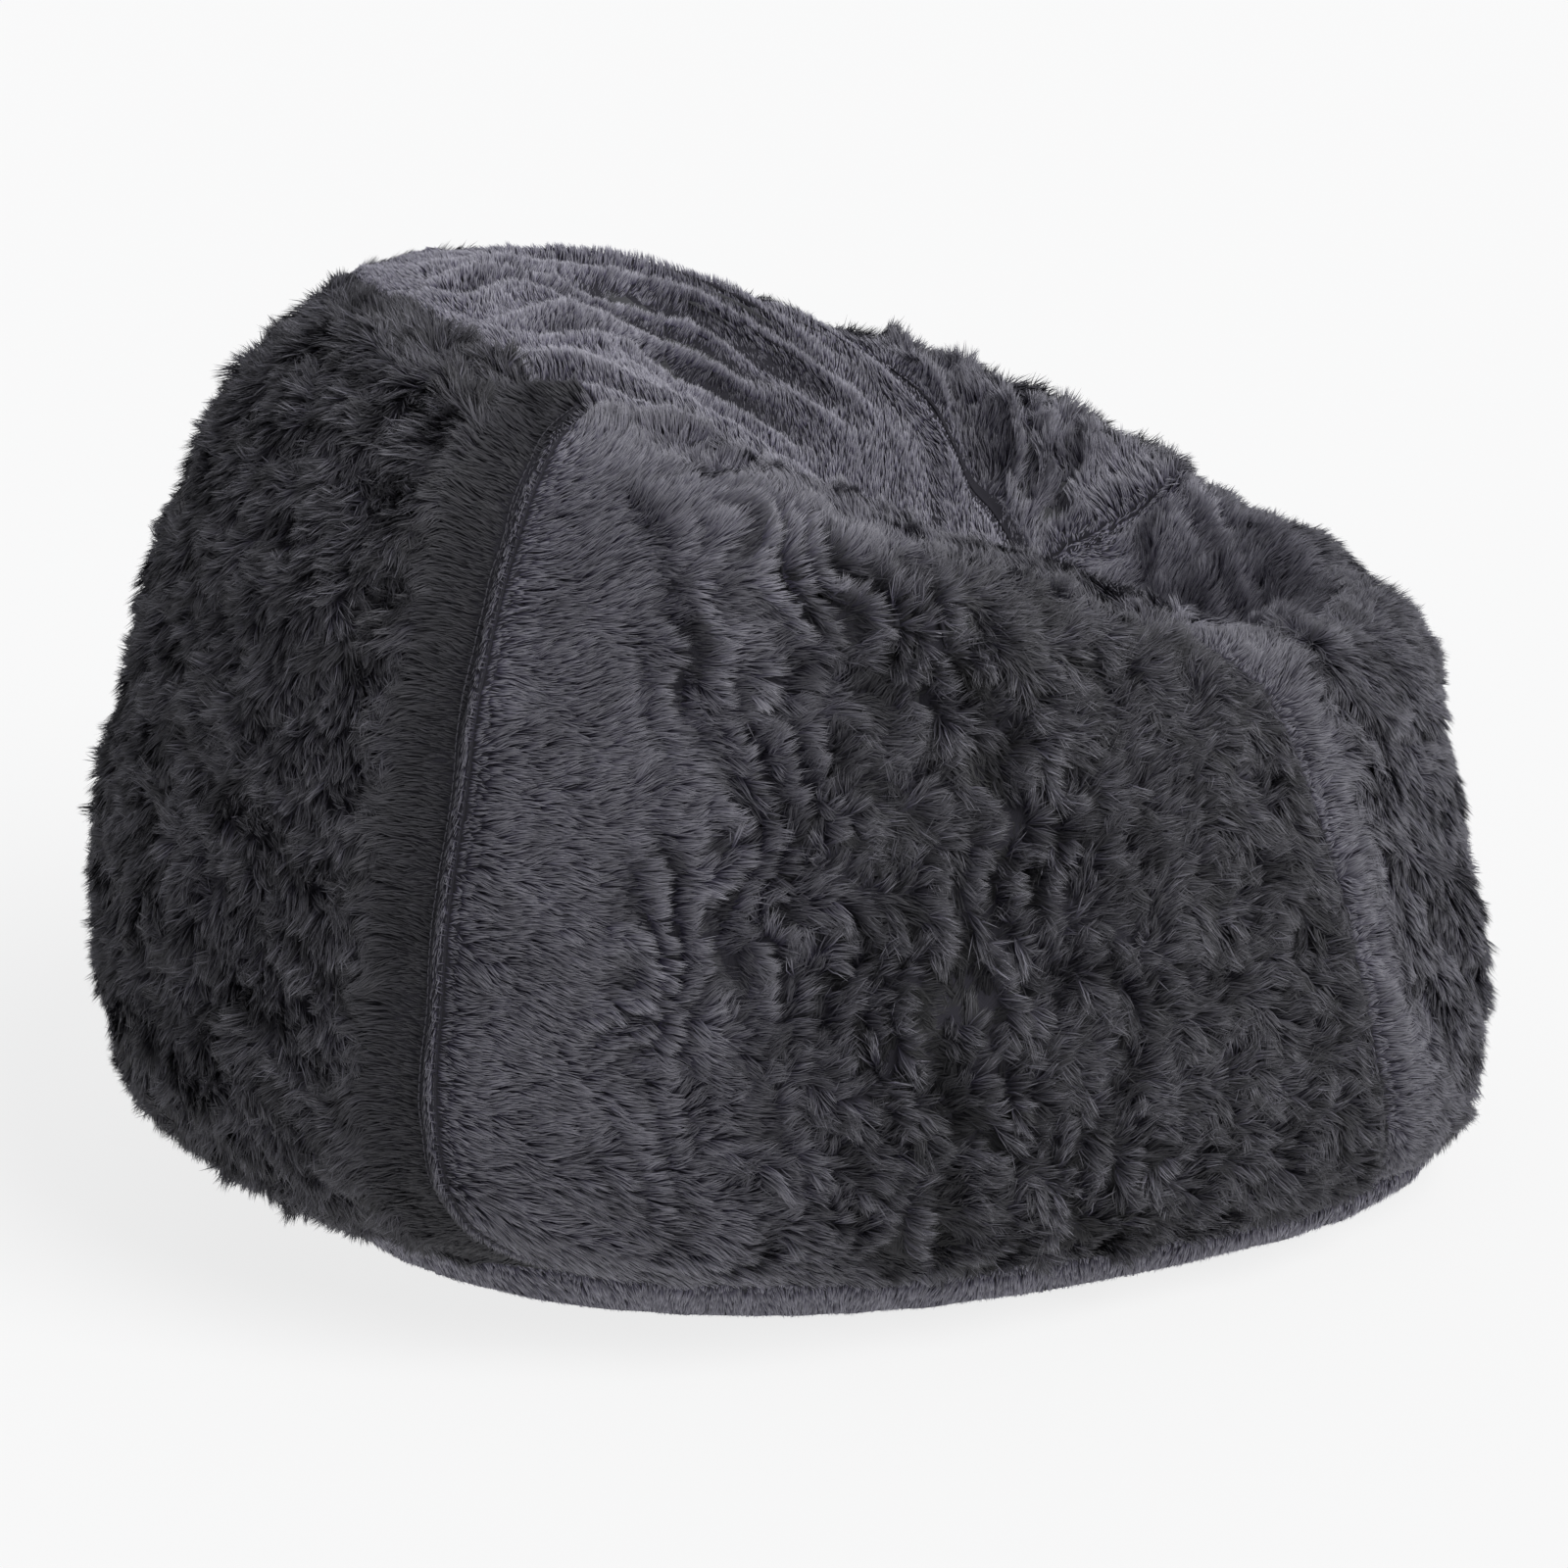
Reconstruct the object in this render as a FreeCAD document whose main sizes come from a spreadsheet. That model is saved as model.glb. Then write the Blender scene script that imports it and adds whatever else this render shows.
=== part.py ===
import FreeCAD, Part
import math
import os
from FreeCAD import Placement, Rotation, Vector

# Bean bag chair. Millimetres, +Z up, the chair faces -Y and its left arm is on +X.
# The origin is on the floor, under the middle of the chair.
#
# Every sewn panel is a patch of one body surface. A point of that surface is named by an
# angle about the vertical axis (0 is the front, 90 the left arm) and a level: 0 is the floor
# edge, 1 the widest ring, 2 the shoulder, 3 the crest of the rim and 4 the lowest point of
# the seat hollow.

SIZES = {
    # each ring: its reach to the front and to the back, its half width, and how far
    # forward of the origin it is widest
    "floor_front": 455, "floor_back": 324, "floor_half_width": 300, "floor_centre": 76,
    "wide_front": 487.5, "wide_back": 487.5, "wide_half_width": 394, "wide_centre": 22,
    "shoulder_front": 456, "shoulder_back": 402, "shoulder_half_width": 355,
    "shoulder_centre": 29,
    "crest_front": 387, "crest_back": 226, "crest_half_width": 304, "crest_centre": 23,
    "crest_ease": 9.5,
    # heights: the mean of each ring and its fall from the back to the front
    "wide_height": 141, "wide_fall": 25, "wide_tilt": 10,
    "shoulder_height": 439, "shoulder_fall": 82,
    "crest_height": 541, "crest_fall": 118, "crest_arch": 10, "crest_tilt": 29,
    "crest_twist": 5,
    "hollow_height": 299, "hollow_forward": 175,
    # sewn materials
    "pile_thickness": 12, "liner_gap": 1.6, "liner_thickness": 0.8, "filling_gap": 3.0,
    "seam_gap": 0.8,
    "thread_width": 1.4, "thread_thickness": 0.8, "thread_lift": 0.9, "needle_gauge": 10,
    # the base cloth and the zips
    "base_cloth": 1.6, "base_inset": 17, "zip_recess": 10, "zip_channel_half": 26,
    "zip_ramp": 20, "zip_opening_half": 6.5, "liner_floor": 19, "filling_floor": 29,
    "zip_front": -330, "zip_length": 560, "liner_zip_length": 420, "liner_zip_side": 90,
    "tape_width": 15, "tape_thickness": 0.5, "tape_edge": 2.2,
    "coil_width": 2.5, "coil_height": 2.1, "coil_gap": 0.7,
    "slider_length": 14, "slider_half_width": 5.4, "slider_plate": 1.2,
    "slider_clearance": 0.25, "slider_flange": 0.7, "slider_divider": 0.9,
    "bridge_length": 8, "bridge_width": 3, "bridge_height": 3.4, "bridge_wire": 1.0,
    "pull_pin": 1.2, "pull_length": 28, "pull_width": 7, "pull_slot_half": 2.0,
    "pull_slot": 5.4, "pull_drop": 1.1,
    "tape_lift": 0.1, "coil_start": 24, "coil_end": 12, "stop_width": 3, "stop_length": 4,
    "top_stop_start": 2, "bottom_stop_start": 9, "bottom_stop_end": 4,
    "slider_start": 8, "liner_zip_start": 40, "divider_length": 4,
    "zip_stitch_near": 1.5, "zip_stitch_far": 7, "zip_stitch_drop": 0.7,
    "zip_stitch_width": 1.0, "zip_stitch_thickness": 0.5,
    "label_width": 36, "label_length": 60, "label_thickness": 0.3,
    "label_side": 70, "label_back": 120, "label_lift": 0.3,
}

RING_SQUARENESS = {          # superellipse exponents: in front of the centre, behind it
    "floor": (3.0, 2.0), "wide": (2.7, 2.2), "shoulder": (2.4, 2.3), "crest": (2.2, 2.3),
}
RING_NAMES = ("floor", "wide", "shoulder", "crest")
FLOOR_TANGENT = (0.6, 1.2)   # how far out, and up, the cover leaves the floor
RIM_ROUNDING = 1.66          # tangent of the rim's quarter round, over its height and its width
ACROSS, ALONG = 27, 25       # grid points of a panel across and along it
AROUND = 80                  # grid points of the filling round one ring
FILLING_RINGS = 44           # rings of the filling, from its floor to the middle of the hollow
FILLING_TOP = 3.96           # level of the last ring
THREAD_STEP = 8              # millimetres between the points of a line of thread
THREAD_MARGIN = 0.03         # share of a seam left free of thread at each end
LENGTH_SAMPLES = 20          # for measuring the length of a line
TWIN_ROWS = (0.2, 1.2)       # rows of thread beside a seam, in needle gauges
SEAT_ROW = 0.3               # the single row round the seat, in needle gauges
BAND_STITCH_LEVEL = 0.29     # level of the row above the foot band
OUTLINE_POINTS = 48          # points of the base cloth's outline
LINER_SPREAD = 4             # millimetres by which the liner's base is wider than the cover's
TAB_ROUNDING = 0.7           # corner radius of the pull tab, over its half width
STEP = 1e-3                  # of level, for normals

# Seam lines as (angle, level) points chosen by hand.
BAND_LEVEL = 0.26
LINER_FOOT_LEVEL = 0.1
SEAMS = {
    "back_right": [(-145.3, BAND_LEVEL), (-145.3, 1.2), (-145.3, 2.2), (-145.0, 3.0)],
    "front_right": [(-50.5, BAND_LEVEL), (-54, 1.2), (-61, 2.2), (-66, 2.9), (-64, 3.25), (-50, 3.55)],
    "front_left": [(45, BAND_LEVEL), (38, 1.2), (24, 2.3), (18, 2.9), (24, 3.3), (45, 3.58)],
    "back_left": [(146, BAND_LEVEL), (145, 1.2), (142, 2.1), (140, 2.7)],
    "seat_back": [(-145.0, 3.0), (-162, 2.98), (-180, 2.96), (-200, 2.86), (-220, 2.7)],
    "seat_right": [(-145.0, 3.0), (-120, 3.14), (-90, 3.28), (-68, 3.42), (-50, 3.55)],
    "seat_left": [(140, 2.7), (112, 2.84), (88, 2.92), (69, 3.08), (60, 3.32), (45, 3.58)],
    "seat_front": [(-50, 3.55), (-20, 3.6), (12, 3.61), (45, 3.58)],
}

os.makedirs("parts", exist_ok=True)
doc = FreeCAD.newDocument("bean_bag_chair")

sheet = doc.addObject("Spreadsheet::Sheet", "sizes")
for row, (alias, value) in enumerate(SIZES.items(), start=1):
    sheet.set(f"A{row}", alias)
    sheet.set(f"B{row}", str(value))
    sheet.setAlias(f"B{row}", alias)
doc.recompute()


def size(alias):
    return float(getattr(sheet, alias))


# ---------------------------------------------------------------- the body surface

def ring_plan(name, angle, depth):
    """Forward and left reach of a ring at an angle, for a layer at a depth."""
    inward = 0 if name == "crest" else depth
    centre = size(name + "_centre")
    front = size(name + "_front") - centre
    back = size(name + "_back") + centre
    c, s = math.cos(angle), math.sin(angle)
    reach = (front if c > 0 else back) - inward
    half = size(name + "_half_width") - inward
    power = RING_SQUARENESS[name][0 if c > 0 else 1]
    radius = ((abs(c) / reach) ** power + (abs(s) / half) ** power) ** (-1 / power)
    return centre + radius * c, radius * s


def ring_height(name, angle):
    c, s = math.cos(angle), math.sin(angle)
    if name == "floor":
        return 0.0
    if name == "wide":
        return size("wide_height") - size("wide_fall") * c + size("wide_tilt") * s
    if name == "shoulder":
        return size("shoulder_height") - size("shoulder_fall") * c
    return (size("crest_height") - size("crest_fall") * c + size("crest_tilt") * s
            - size("crest_arch") * math.cos(2 * angle) + size("crest_twist") * math.sin(2 * angle))


def ring_point(name, angle, depth=0.0):
    """The rings of an inner layer are smaller, and its crest is lower."""
    forward, left = ring_plan(name, angle, depth)
    lowered = depth if name == "crest" else 0
    return Vector(left, -forward, ring_height(name, angle) - lowered)


def scaled(vector, flat, rise):
    return Vector(vector.x * flat, vector.y * flat, vector.z * rise)


def dish_point(angle, radius, depth):
    """The seat hollow: radius 1 is the crest and 0 the lowest point."""
    crest = ring_point("crest", angle, depth)
    centre = Vector(0, -size("crest_centre"), 0)
    low = size("hollow_height") - depth
    shift = (size("hollow_forward") - size("crest_centre")) * (1 - radius ** 2)
    rise = math.sin(math.pi * radius / 2) ** 2
    return Vector(crest.x * radius, centre.y - shift + (crest.y - centre.y) * radius,
                  low + (crest.z - low) * rise)


def skin(angle, level, depth=0.0):
    """The outside of the cover at an angle in radians and a level, or a layer below it."""
    if level >= 3:
        return dish_point(angle, 4 - level, depth)
    knots = [ring_point(name, angle, depth) for name in RING_NAMES]
    span = min(int(level), 2)
    t = level - span
    low, high = knots[span], knots[span + 1]
    if span == 2:
        inward = Vector(-high.x, -size("crest_centre") - high.y, 0)
        width = math.hypot(high.x - low.x, high.y - low.y)
        start = (high - knots[1]).normalize() * (high.z - low.z) * RIM_ROUNDING
        end = inward.normalize() * (width * RIM_ROUNDING + size("crest_ease"))
    else:
        start = scaled(high - low, *FLOOR_TANGENT) if span == 0 else (high - knots[0]) * 0.5
        end = (knots[span + 2] - low) * 0.5
    return (low * (2 * t ** 3 - 3 * t ** 2 + 1) + start * (t ** 3 - 2 * t ** 2 + t)
            + high * (3 * t ** 2 - 2 * t ** 3) + end * (t ** 3 - t ** 2))


def skin_flat(p, q, depth=0.0):
    """The same surface on a flat map: the seat's lowest point is the middle of the map."""
    return skin(math.atan2(q, p), 4 - min(math.hypot(p, q), 4.0), depth)


def skin_normal(p, q):
    inward = 1 - 2 * STEP / max(math.hypot(p, q), 1.0)
    p, q = p * inward, q * inward
    along = skin_flat(p + STEP, q) - skin_flat(p - STEP, q)
    across = skin_flat(p, q + STEP) - skin_flat(p, q - STEP)
    return along.cross(across).normalize()


def flat_map(angle_degrees, level):
    angle = math.radians(angle_degrees)
    return (4 - level) * math.cos(angle), (4 - level) * math.sin(angle)


# ---------------------------------------------------------------- seam lines and patches

def along_points(points, t):
    """A smooth line through hand-chosen points, for t from 0 to 1."""
    spans = len(points) - 1
    i = min(int(t * spans), spans - 1)
    f = t * spans - i
    a, b = points[i], points[i + 1]
    before = points[i - 1] if i > 0 else tuple(2 * x - y for x, y in zip(a, b))
    after = points[i + 2] if i + 2 <= spans else tuple(2 * y - x for x, y in zip(a, b))
    return tuple(
        0.5 * (2 * p1 + (p2 - p0) * f + (2 * p0 - 5 * p1 + 4 * p2 - p3) * f ** 2
               + (3 * p1 - p0 - 3 * p2 + p3) * f ** 3)
        for p0, p1, p2, p3 in zip(before, a, b, after))


def blended_patch(bottom, top, first, last, s, t):
    """Coons patch between four edges, each a function of 0 to 1 that gives a pair."""
    corners = bottom(0), bottom(1), top(0), top(1)
    return tuple(
        (1 - t) * bottom(s)[k] + t * top(s)[k] + (1 - s) * first(t)[k] + s * last(t)[k]
        - (1 - s) * (1 - t) * corners[0][k] - s * (1 - t) * corners[1][k]
        - (1 - s) * t * corners[2][k] - s * t * corners[3][k]
        for k in (0, 1))


def side_map(first_seam, last_seam, top_seam, turn=0.0):
    """Where a side panel's (s, t) lies on the flat map. It runs from first_seam to last_seam."""
    start = SEAMS[first_seam]
    end = [(a + turn, v) for a, v in SEAMS[last_seam]]
    brim = [flat_map(a, v) for a, v in top_seam]

    def first(t):
        return along_points(start, t)

    def last(t):
        return along_points(end, t)

    def bottom(s):
        return start[0][0] + (end[0][0] - start[0][0]) * s, BAND_LEVEL

    def top(s):
        p, q = along_points(brim, s)
        angle = math.degrees(math.atan2(q, p))
        expected = start[-1][0] + (end[-1][0] - start[-1][0]) * s
        return angle + 360 * round((expected - angle) / 360), 4 - math.hypot(p, q)

    def place(s, t):
        return flat_map(*blended_patch(bottom, top, first, last, s, t))
    return place


def seat_map(s, t):
    """Where the seat panel's (s, t) lies on the flat map, from its front edge to its back."""
    def edge(name):
        points = [flat_map(a, v) for a, v in SEAMS[name]]
        return lambda x: along_points(points, x)
    right, left = edge("seat_right"), edge("seat_left")
    return blended_patch(edge("seat_front"), edge("seat_back"),
                         lambda x: right(1 - x), lambda x: left(1 - x), s, t)


def band_map(start_angle, end_angle, foot=0.0):
    """Where a foot band's (s, t) lies, from level foot up to the side panels."""
    def place(s, t):
        return flat_map(start_angle + (end_angle - start_angle) * s, foot + (BAND_LEVEL - foot) * t)
    return place


PANELS = {
    "right_side_panel": side_map("back_right", "front_right", SEAMS["seat_right"]),
    "front_panel": side_map("front_right", "front_left", SEAMS["seat_front"]),
    "left_side_panel": side_map("front_left", "back_left", SEAMS["seat_left"][::-1]),
    "back_panel": side_map("back_left", "back_right", SEAMS["seat_back"][::-1], turn=360),
    "seat_panel": seat_map,
}


def inset(index, count, margin):
    return margin + (1 - 2 * margin) * index / (count - 1)


def patch_grid(place, depth, margin, across=ACROSS, along=ALONG):
    grid = []
    for i in range(along):
        s = inset(i, along, margin)
        grid.append([skin_flat(*place(s, inset(j, across, margin)), depth) for j in range(across)])
    return grid


def clamped_knots(count, degree):
    """Knots and multiplicities of a clamped uniform spline with this many poles."""
    knots = list(range(count - degree + 1))
    return [float(k) for k in knots], [degree + 1] + [1] * (len(knots) - 2) + [degree + 1]


def spline_surface(poles):
    """A smooth surface that follows a grid of poles and meets the grid's four edges."""
    degree_u, degree_v = min(3, len(poles) - 1), min(3, len(poles[0]) - 1)
    knots_u, mults_u = clamped_knots(len(poles), degree_u)
    knots_v, mults_v = clamped_knots(len(poles[0]), degree_v)
    surface = Part.BSplineSurface()
    surface.buildFromPolesMultsKnots(poles, mults_u, mults_v, knots_u, knots_v, False, False,
                                     degree_u, degree_v)
    return surface


def closed_solid(faces):
    shell = Part.makeShell(faces)
    shell.sewShape()
    solid = Part.makeSolid(shell)
    if solid.Volume < 0:
        solid.reverse()
    return solid


def solid_between(outer, inner):
    """A closed solid between two grids of points of the same size."""
    faces = [spline_surface(outer).toShape(), spline_surface(inner).toShape()]
    for edge in ((lambda g: g[0]), (lambda g: g[-1]),
                 (lambda g: [row[0] for row in g]), (lambda g: [row[-1] for row in g])):
        faces.append(spline_surface([edge(outer), edge(inner)]).toShape())
    return closed_solid(faces)


def shell_patch(place, depth, thickness, margin=None):
    if margin is None:
        span = (skin_flat(*place(0, 0.5)) - skin_flat(*place(1, 0.5))).Length
        margin = 0.5 * size("seam_gap") / span
    return solid_between(patch_grid(place, depth, margin), patch_grid(place, depth + thickness, margin))


# ---------------------------------------------------------------- adding nodes

NODES = []


def add_shape(label, shape):
    node = doc.addObject("Part::Feature", label)
    node.Label = label
    node.Shape = shape
    node.Placement = Placement()
    NODES.append(node)
    return node


def add_bands(prefix, foot, depth, thickness):
    """The strip round the foot, in two halves that join at the front and the back."""
    margin = 0.5 * size("seam_gap") / (size("wide_half_width") * math.pi)
    for side, start in (("right", -180), ("left", 0)):
        place = band_map(start, start + 180, foot)
        add_shape(f"{prefix}_band_{side}", shell_patch(place, depth, thickness, margin))


def add_cover():
    thickness = size("pile_thickness")
    for name, place in PANELS.items():
        add_shape(name, shell_patch(place, 0, thickness))
    add_bands("base", 0.0, 0, thickness)


def add_liner():
    depth, thickness = size("pile_thickness") + size("liner_gap"), size("liner_thickness")
    for name, place in PANELS.items():
        add_shape("liner_" + name.replace("_side", ""), shell_patch(place, depth, thickness))
    add_bands("liner", LINER_FOOT_LEVEL, depth, thickness)


def level_at_height(angle_degrees, depth, height):
    """The level at which the surface below the skin passes a height near the foot."""
    low, high = 0.0, 1.0
    for _ in range(30):
        middle = (low + high) / 2
        if skin_flat(*flat_map(angle_degrees, middle), depth).z < height:
            low = middle
        else:
            high = middle
    return low


def add_filling():
    """The beads fill the liner: up the sides, over the crest and down into the hollow."""
    depth = size("pile_thickness") + size("liner_gap") + size("liner_thickness") + size("filling_gap")
    columns = []
    for i in range(AROUND):
        angle = 360 * i / AROUND
        foot = level_at_height(angle, depth, size("filling_floor"))
        rise = (FILLING_TOP - foot) / (FILLING_RINGS - 1)
        columns.append([skin_flat(*flat_map(angle, foot + rise * k), depth) for k in range(FILLING_RINGS)])
    rings = [list(ring) for ring in zip(*columns)]
    hollow = sum(point.z for point in rings[-1]) / AROUND
    for ring, height in ((rings[0], size("filling_floor")), (rings[-1], hollow)):
        for point in ring:
            point.z = height
    knots, mults = clamped_knots(len(rings), 3)
    side = Part.BSplineSurface()
    side.buildFromPolesMultsKnots(rings, mults, [1] * (AROUND + 1), knots,
                                  [float(k) for k in range(AROUND + 1)], False, True, 3, 3)
    faces = [side.toShape()]
    for end in (knots[0], knots[-1]):
        faces.append(Part.Face(Part.Wire(side.uIso(end).toShape())))
    add_shape("bead_filling", closed_solid(faces))


def stitched_line(points, sideways):
    """One raised line of thread beside a seam, sideways millimetres from it."""
    reach = [skin_flat(*flat_map(*along_points(points, t / LENGTH_SAMPLES)))
             for t in range(LENGTH_SAMPLES + 1)]
    count = int(sum((b - a).Length for a, b in zip(reach, reach[1:])) / THREAD_STEP)
    lift, tall = size("thread_lift"), size("thread_thickness")
    half = size("thread_width") / 2
    spots = [flat_map(*along_points(points, inset(i, count, THREAD_MARGIN))) for i in range(count)]
    middle = [skin_flat(p, q) for p, q in spots]
    outer, inner = [], []
    for i, (p, q) in enumerate(spots):
        normal = skin_normal(p, q)
        way = middle[min(i + 1, count - 1)] - middle[max(i - 1, 0)]
        side = normal.cross(way).normalize()
        for grid, height in ((outer, lift + tall), (inner, lift)):
            grid.append([middle[i] + side * (sideways + half * k) + normal * height for k in (-1, 0, 1)])
    return solid_between(outer, inner)


def add_topstitching():
    gauge = size("needle_gauge")
    for name in ("back_right", "front_right", "front_left", "back_left"):
        lines = [stitched_line(SEAMS[name], gauge * row) for row in TWIN_ROWS]
        add_shape(name + "_topstitch", Part.makeCompound(lines))
    seat = [stitched_line(SEAMS[name], side * gauge * SEAT_ROW)
            for name, side in (("seat_back", -1), ("seat_left", 1))]
    add_shape("seat_topstitch", Part.makeCompound(seat))
    band = []
    for start in (-178, 2):
        line = [(start + 44 * i, BAND_STITCH_LEVEL) for i in range(5)]
        band.append(stitched_line(line, 0))
    add_shape("band_topstitch", Part.makeCompound(band))


# ---------------------------------------------------------------- base cloth and zips

def base_outline(spread):
    """The cloth disc inside the band, as a flat face on the floor plane."""
    points = []
    for i in range(OUTLINE_POINTS):
        spot = ring_point("floor", 2 * math.pi * i / OUTLINE_POINTS)
        middle = Vector(0, -size("floor_centre"), 0)
        reach = spot - middle
        points.append(middle + reach * (1 - (size("base_inset") - spread) / reach.Length))
    curve = Part.BSplineCurve()
    curve.interpolate(points, PeriodicFlag=True)
    return Part.Face(Part.Wire(curve.toShape()))


def add_profiled_half(label, outline, side, profile):
    """Half of the base cloth: its outline cut to a cross-section that runs front to back."""
    reach = 2 * size("wide_front")
    corners = [Vector(side * x, -reach / 2, z) for x, z in profile]
    section = Part.Face(Part.makePolygon(corners + corners[:1]))
    column = doc.addObject("Part::Feature", label + "_outline")
    column.Shape = outline.extrude(Vector(0, 0, size("wide_height")))
    runner = doc.addObject("Part::Feature", label + "_section")
    runner.Shape = section.extrude(Vector(0, reach, 0))
    half = doc.addObject("Part::Common", label)
    half.Base = column
    half.Tool = runner
    half.Label = label
    doc.recompute()
    NODES.append(half)


def add_base_cloth():
    cloth, rise = size("base_cloth"), size("zip_recess")
    inner, channel = size("zip_opening_half"), size("zip_channel_half")
    foot, far = channel + size("zip_ramp"), 2 * size("wide_half_width")
    profile = [(far, 0), (foot, 0), (channel, rise), (inner, rise),
               (inner, rise + cloth), (channel, rise + cloth), (foot, cloth), (far, cloth)]
    outline = base_outline(0)
    for side, name in ((1, "left"), (-1, "right")):
        add_profiled_half("base_panel_" + name, outline, side, profile)
    floor, thin = size("liner_floor"), size("liner_thickness")
    line = size("liner_zip_side")
    liner = base_outline(LINER_SPREAD)
    for side, name in ((1, "left"), (-1, "right")):
        edge = side * line + inner
        add_profiled_half("liner_base_" + name, liner, side,
                          [(edge, floor), (far, floor), (far, floor + thin), (edge, floor + thin)])


def add_box(label, low, high, **cells):
    """A block between two corners. cells binds lengths to the sheet."""
    box = doc.addObject("Part::Box", label)
    box.Label = label
    box.Length, box.Width, box.Height = (high[k] - low[k] for k in range(3))
    for name, alias in cells.items():
        box.setExpression(name, f"sizes.{alias}")
    box.Placement = Placement(Vector(*low), Rotation())
    NODES.append(box)
    return box


def add_zip(prefix, centre, tape_base, start, length):
    """Tapes, coils and stops of one zip that runs along Y and opens downwards."""
    tape, edge, width = size("tape_thickness"), size("tape_edge"), size("tape_width")
    gap, coil, tall = size("coil_gap"), size("coil_width"), size("coil_height")
    for side, name in ((1, "left"), (-1, "right")):
        near, far = sorted((centre + side * edge, centre + side * (edge + width)))
        add_box(f"{prefix}_tape_{name}", (near, start, tape_base), (far, start + length, tape_base + tape),
                Width="zip_length" if prefix == "zip" else "liner_zip_length", Length="tape_width",
                Height="tape_thickness")
        near, far = sorted((centre + side * gap, centre + side * (gap + coil)))
        add_box(f"{prefix}_coil_{name}", (near, start + size("coil_start"), tape_base - tall),
                (far, start + length - size("coil_end"), tape_base),
                Length="coil_width", Height="coil_height")
    clip, first = size("stop_width"), start + size("top_stop_start")
    stops = []
    for side in (1, -1):
        near = centre + side * (gap + coil / 2) - clip / 2
        corner = Vector(near, first, tape_base - tall)
        stops.append(Part.makeBox(clip, size("stop_length"), tall, corner))
    add_shape(prefix + "_top_stops", Part.makeCompound(stops))
    reach, end = gap + coil, start + length
    add_box(prefix + "_bottom_stop", (centre - reach, end - size("bottom_stop_start"), tape_base - tall),
            (centre + reach, end - size("bottom_stop_end"), tape_base))


def sketch_on(body, plane_role, name, offset):
    """A sketch on one of the body's own origin planes, moved along that plane's normal."""
    sketch = body.newObject("Sketcher::SketchObject", name)
    plane = [f for f in body.Origin.OriginFeatures if f.Role == plane_role][0]
    sketch.AttachmentSupport = [(plane, "")]
    sketch.MapMode = "FlatFace"
    sketch.AttachmentOffset = Placement(Vector(0, 0, offset), Rotation())
    return sketch


def add_rectangle(sketch, low, high):
    corners = [Vector(low[0], low[1], 0), Vector(high[0], low[1], 0),
               Vector(high[0], high[1], 0), Vector(low[0], high[1], 0)]
    for a, b in zip(corners, corners[1:] + corners[:1]):
        sketch.addGeometry(Part.LineSegment(a, b), False)


def pad(body, name, rectangles, bottom, height, alias=None):
    sketch = sketch_on(body, "XY_Plane", name + "_sketch", bottom)
    for low, high in rectangles:
        add_rectangle(sketch, low, high)
    feature = body.newObject("PartDesign::Pad", name)
    feature.Profile = sketch
    feature.Length = height
    if alias:
        feature.setExpression("Length", f"sizes.{alias}")
    doc.recompute()
    return feature


def add_slider(label, centre, tape_base, middle, with_bridge):
    """A zip slider: two plates round the coils, side flanges, a divider and a bridge."""
    body = doc.addObject("PartDesign::Body", label)
    body.Label = label
    half, long = size("slider_half_width"), size("slider_length") / 2
    plate, clear = size("slider_plate"), size("slider_clearance")
    low_top = tape_base - size("coil_height") - clear
    high_bottom = tape_base + size("tape_thickness") + clear
    flange, divider = size("slider_flange"), size("slider_divider") / 2
    plan = [((-half, -long), (half, long))]
    pad(body, "lower_plate", plan, low_top - plate, plate, "slider_plate")
    wedge = [((-divider, -long), (divider, size("divider_length") - long))]
    pad(body, "divider", wedge, low_top, high_bottom - low_top)
    pad(body, "upper_plate", plan, high_bottom, plate, "slider_plate")
    flanges = [((k * half, -long), (k * (half - flange), long)) for k in (-1, 1)]
    pad(body, "flanges", flanges, low_top, size("coil_height") - clear)
    if with_bridge:
        wire, tall = size("bridge_wire"), size("bridge_height")
        reach, wide = size("bridge_length") / 2, size("bridge_width") / 2
        foot = low_top - plate
        legs = [((-wide, k * reach), (wide, k * (reach - wire))) for k in (-1, 1)]
        pad(body, "bridge_legs", legs, foot - tall + wire, tall - wire)
        pad(body, "bridge_bar", [((-wide, -reach), (wide, reach))], foot - tall, wire, "bridge_wire")
    body.Placement = Placement(Vector(centre, middle, 0), Rotation())
    doc.recompute()
    NODES.append(body)


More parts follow.
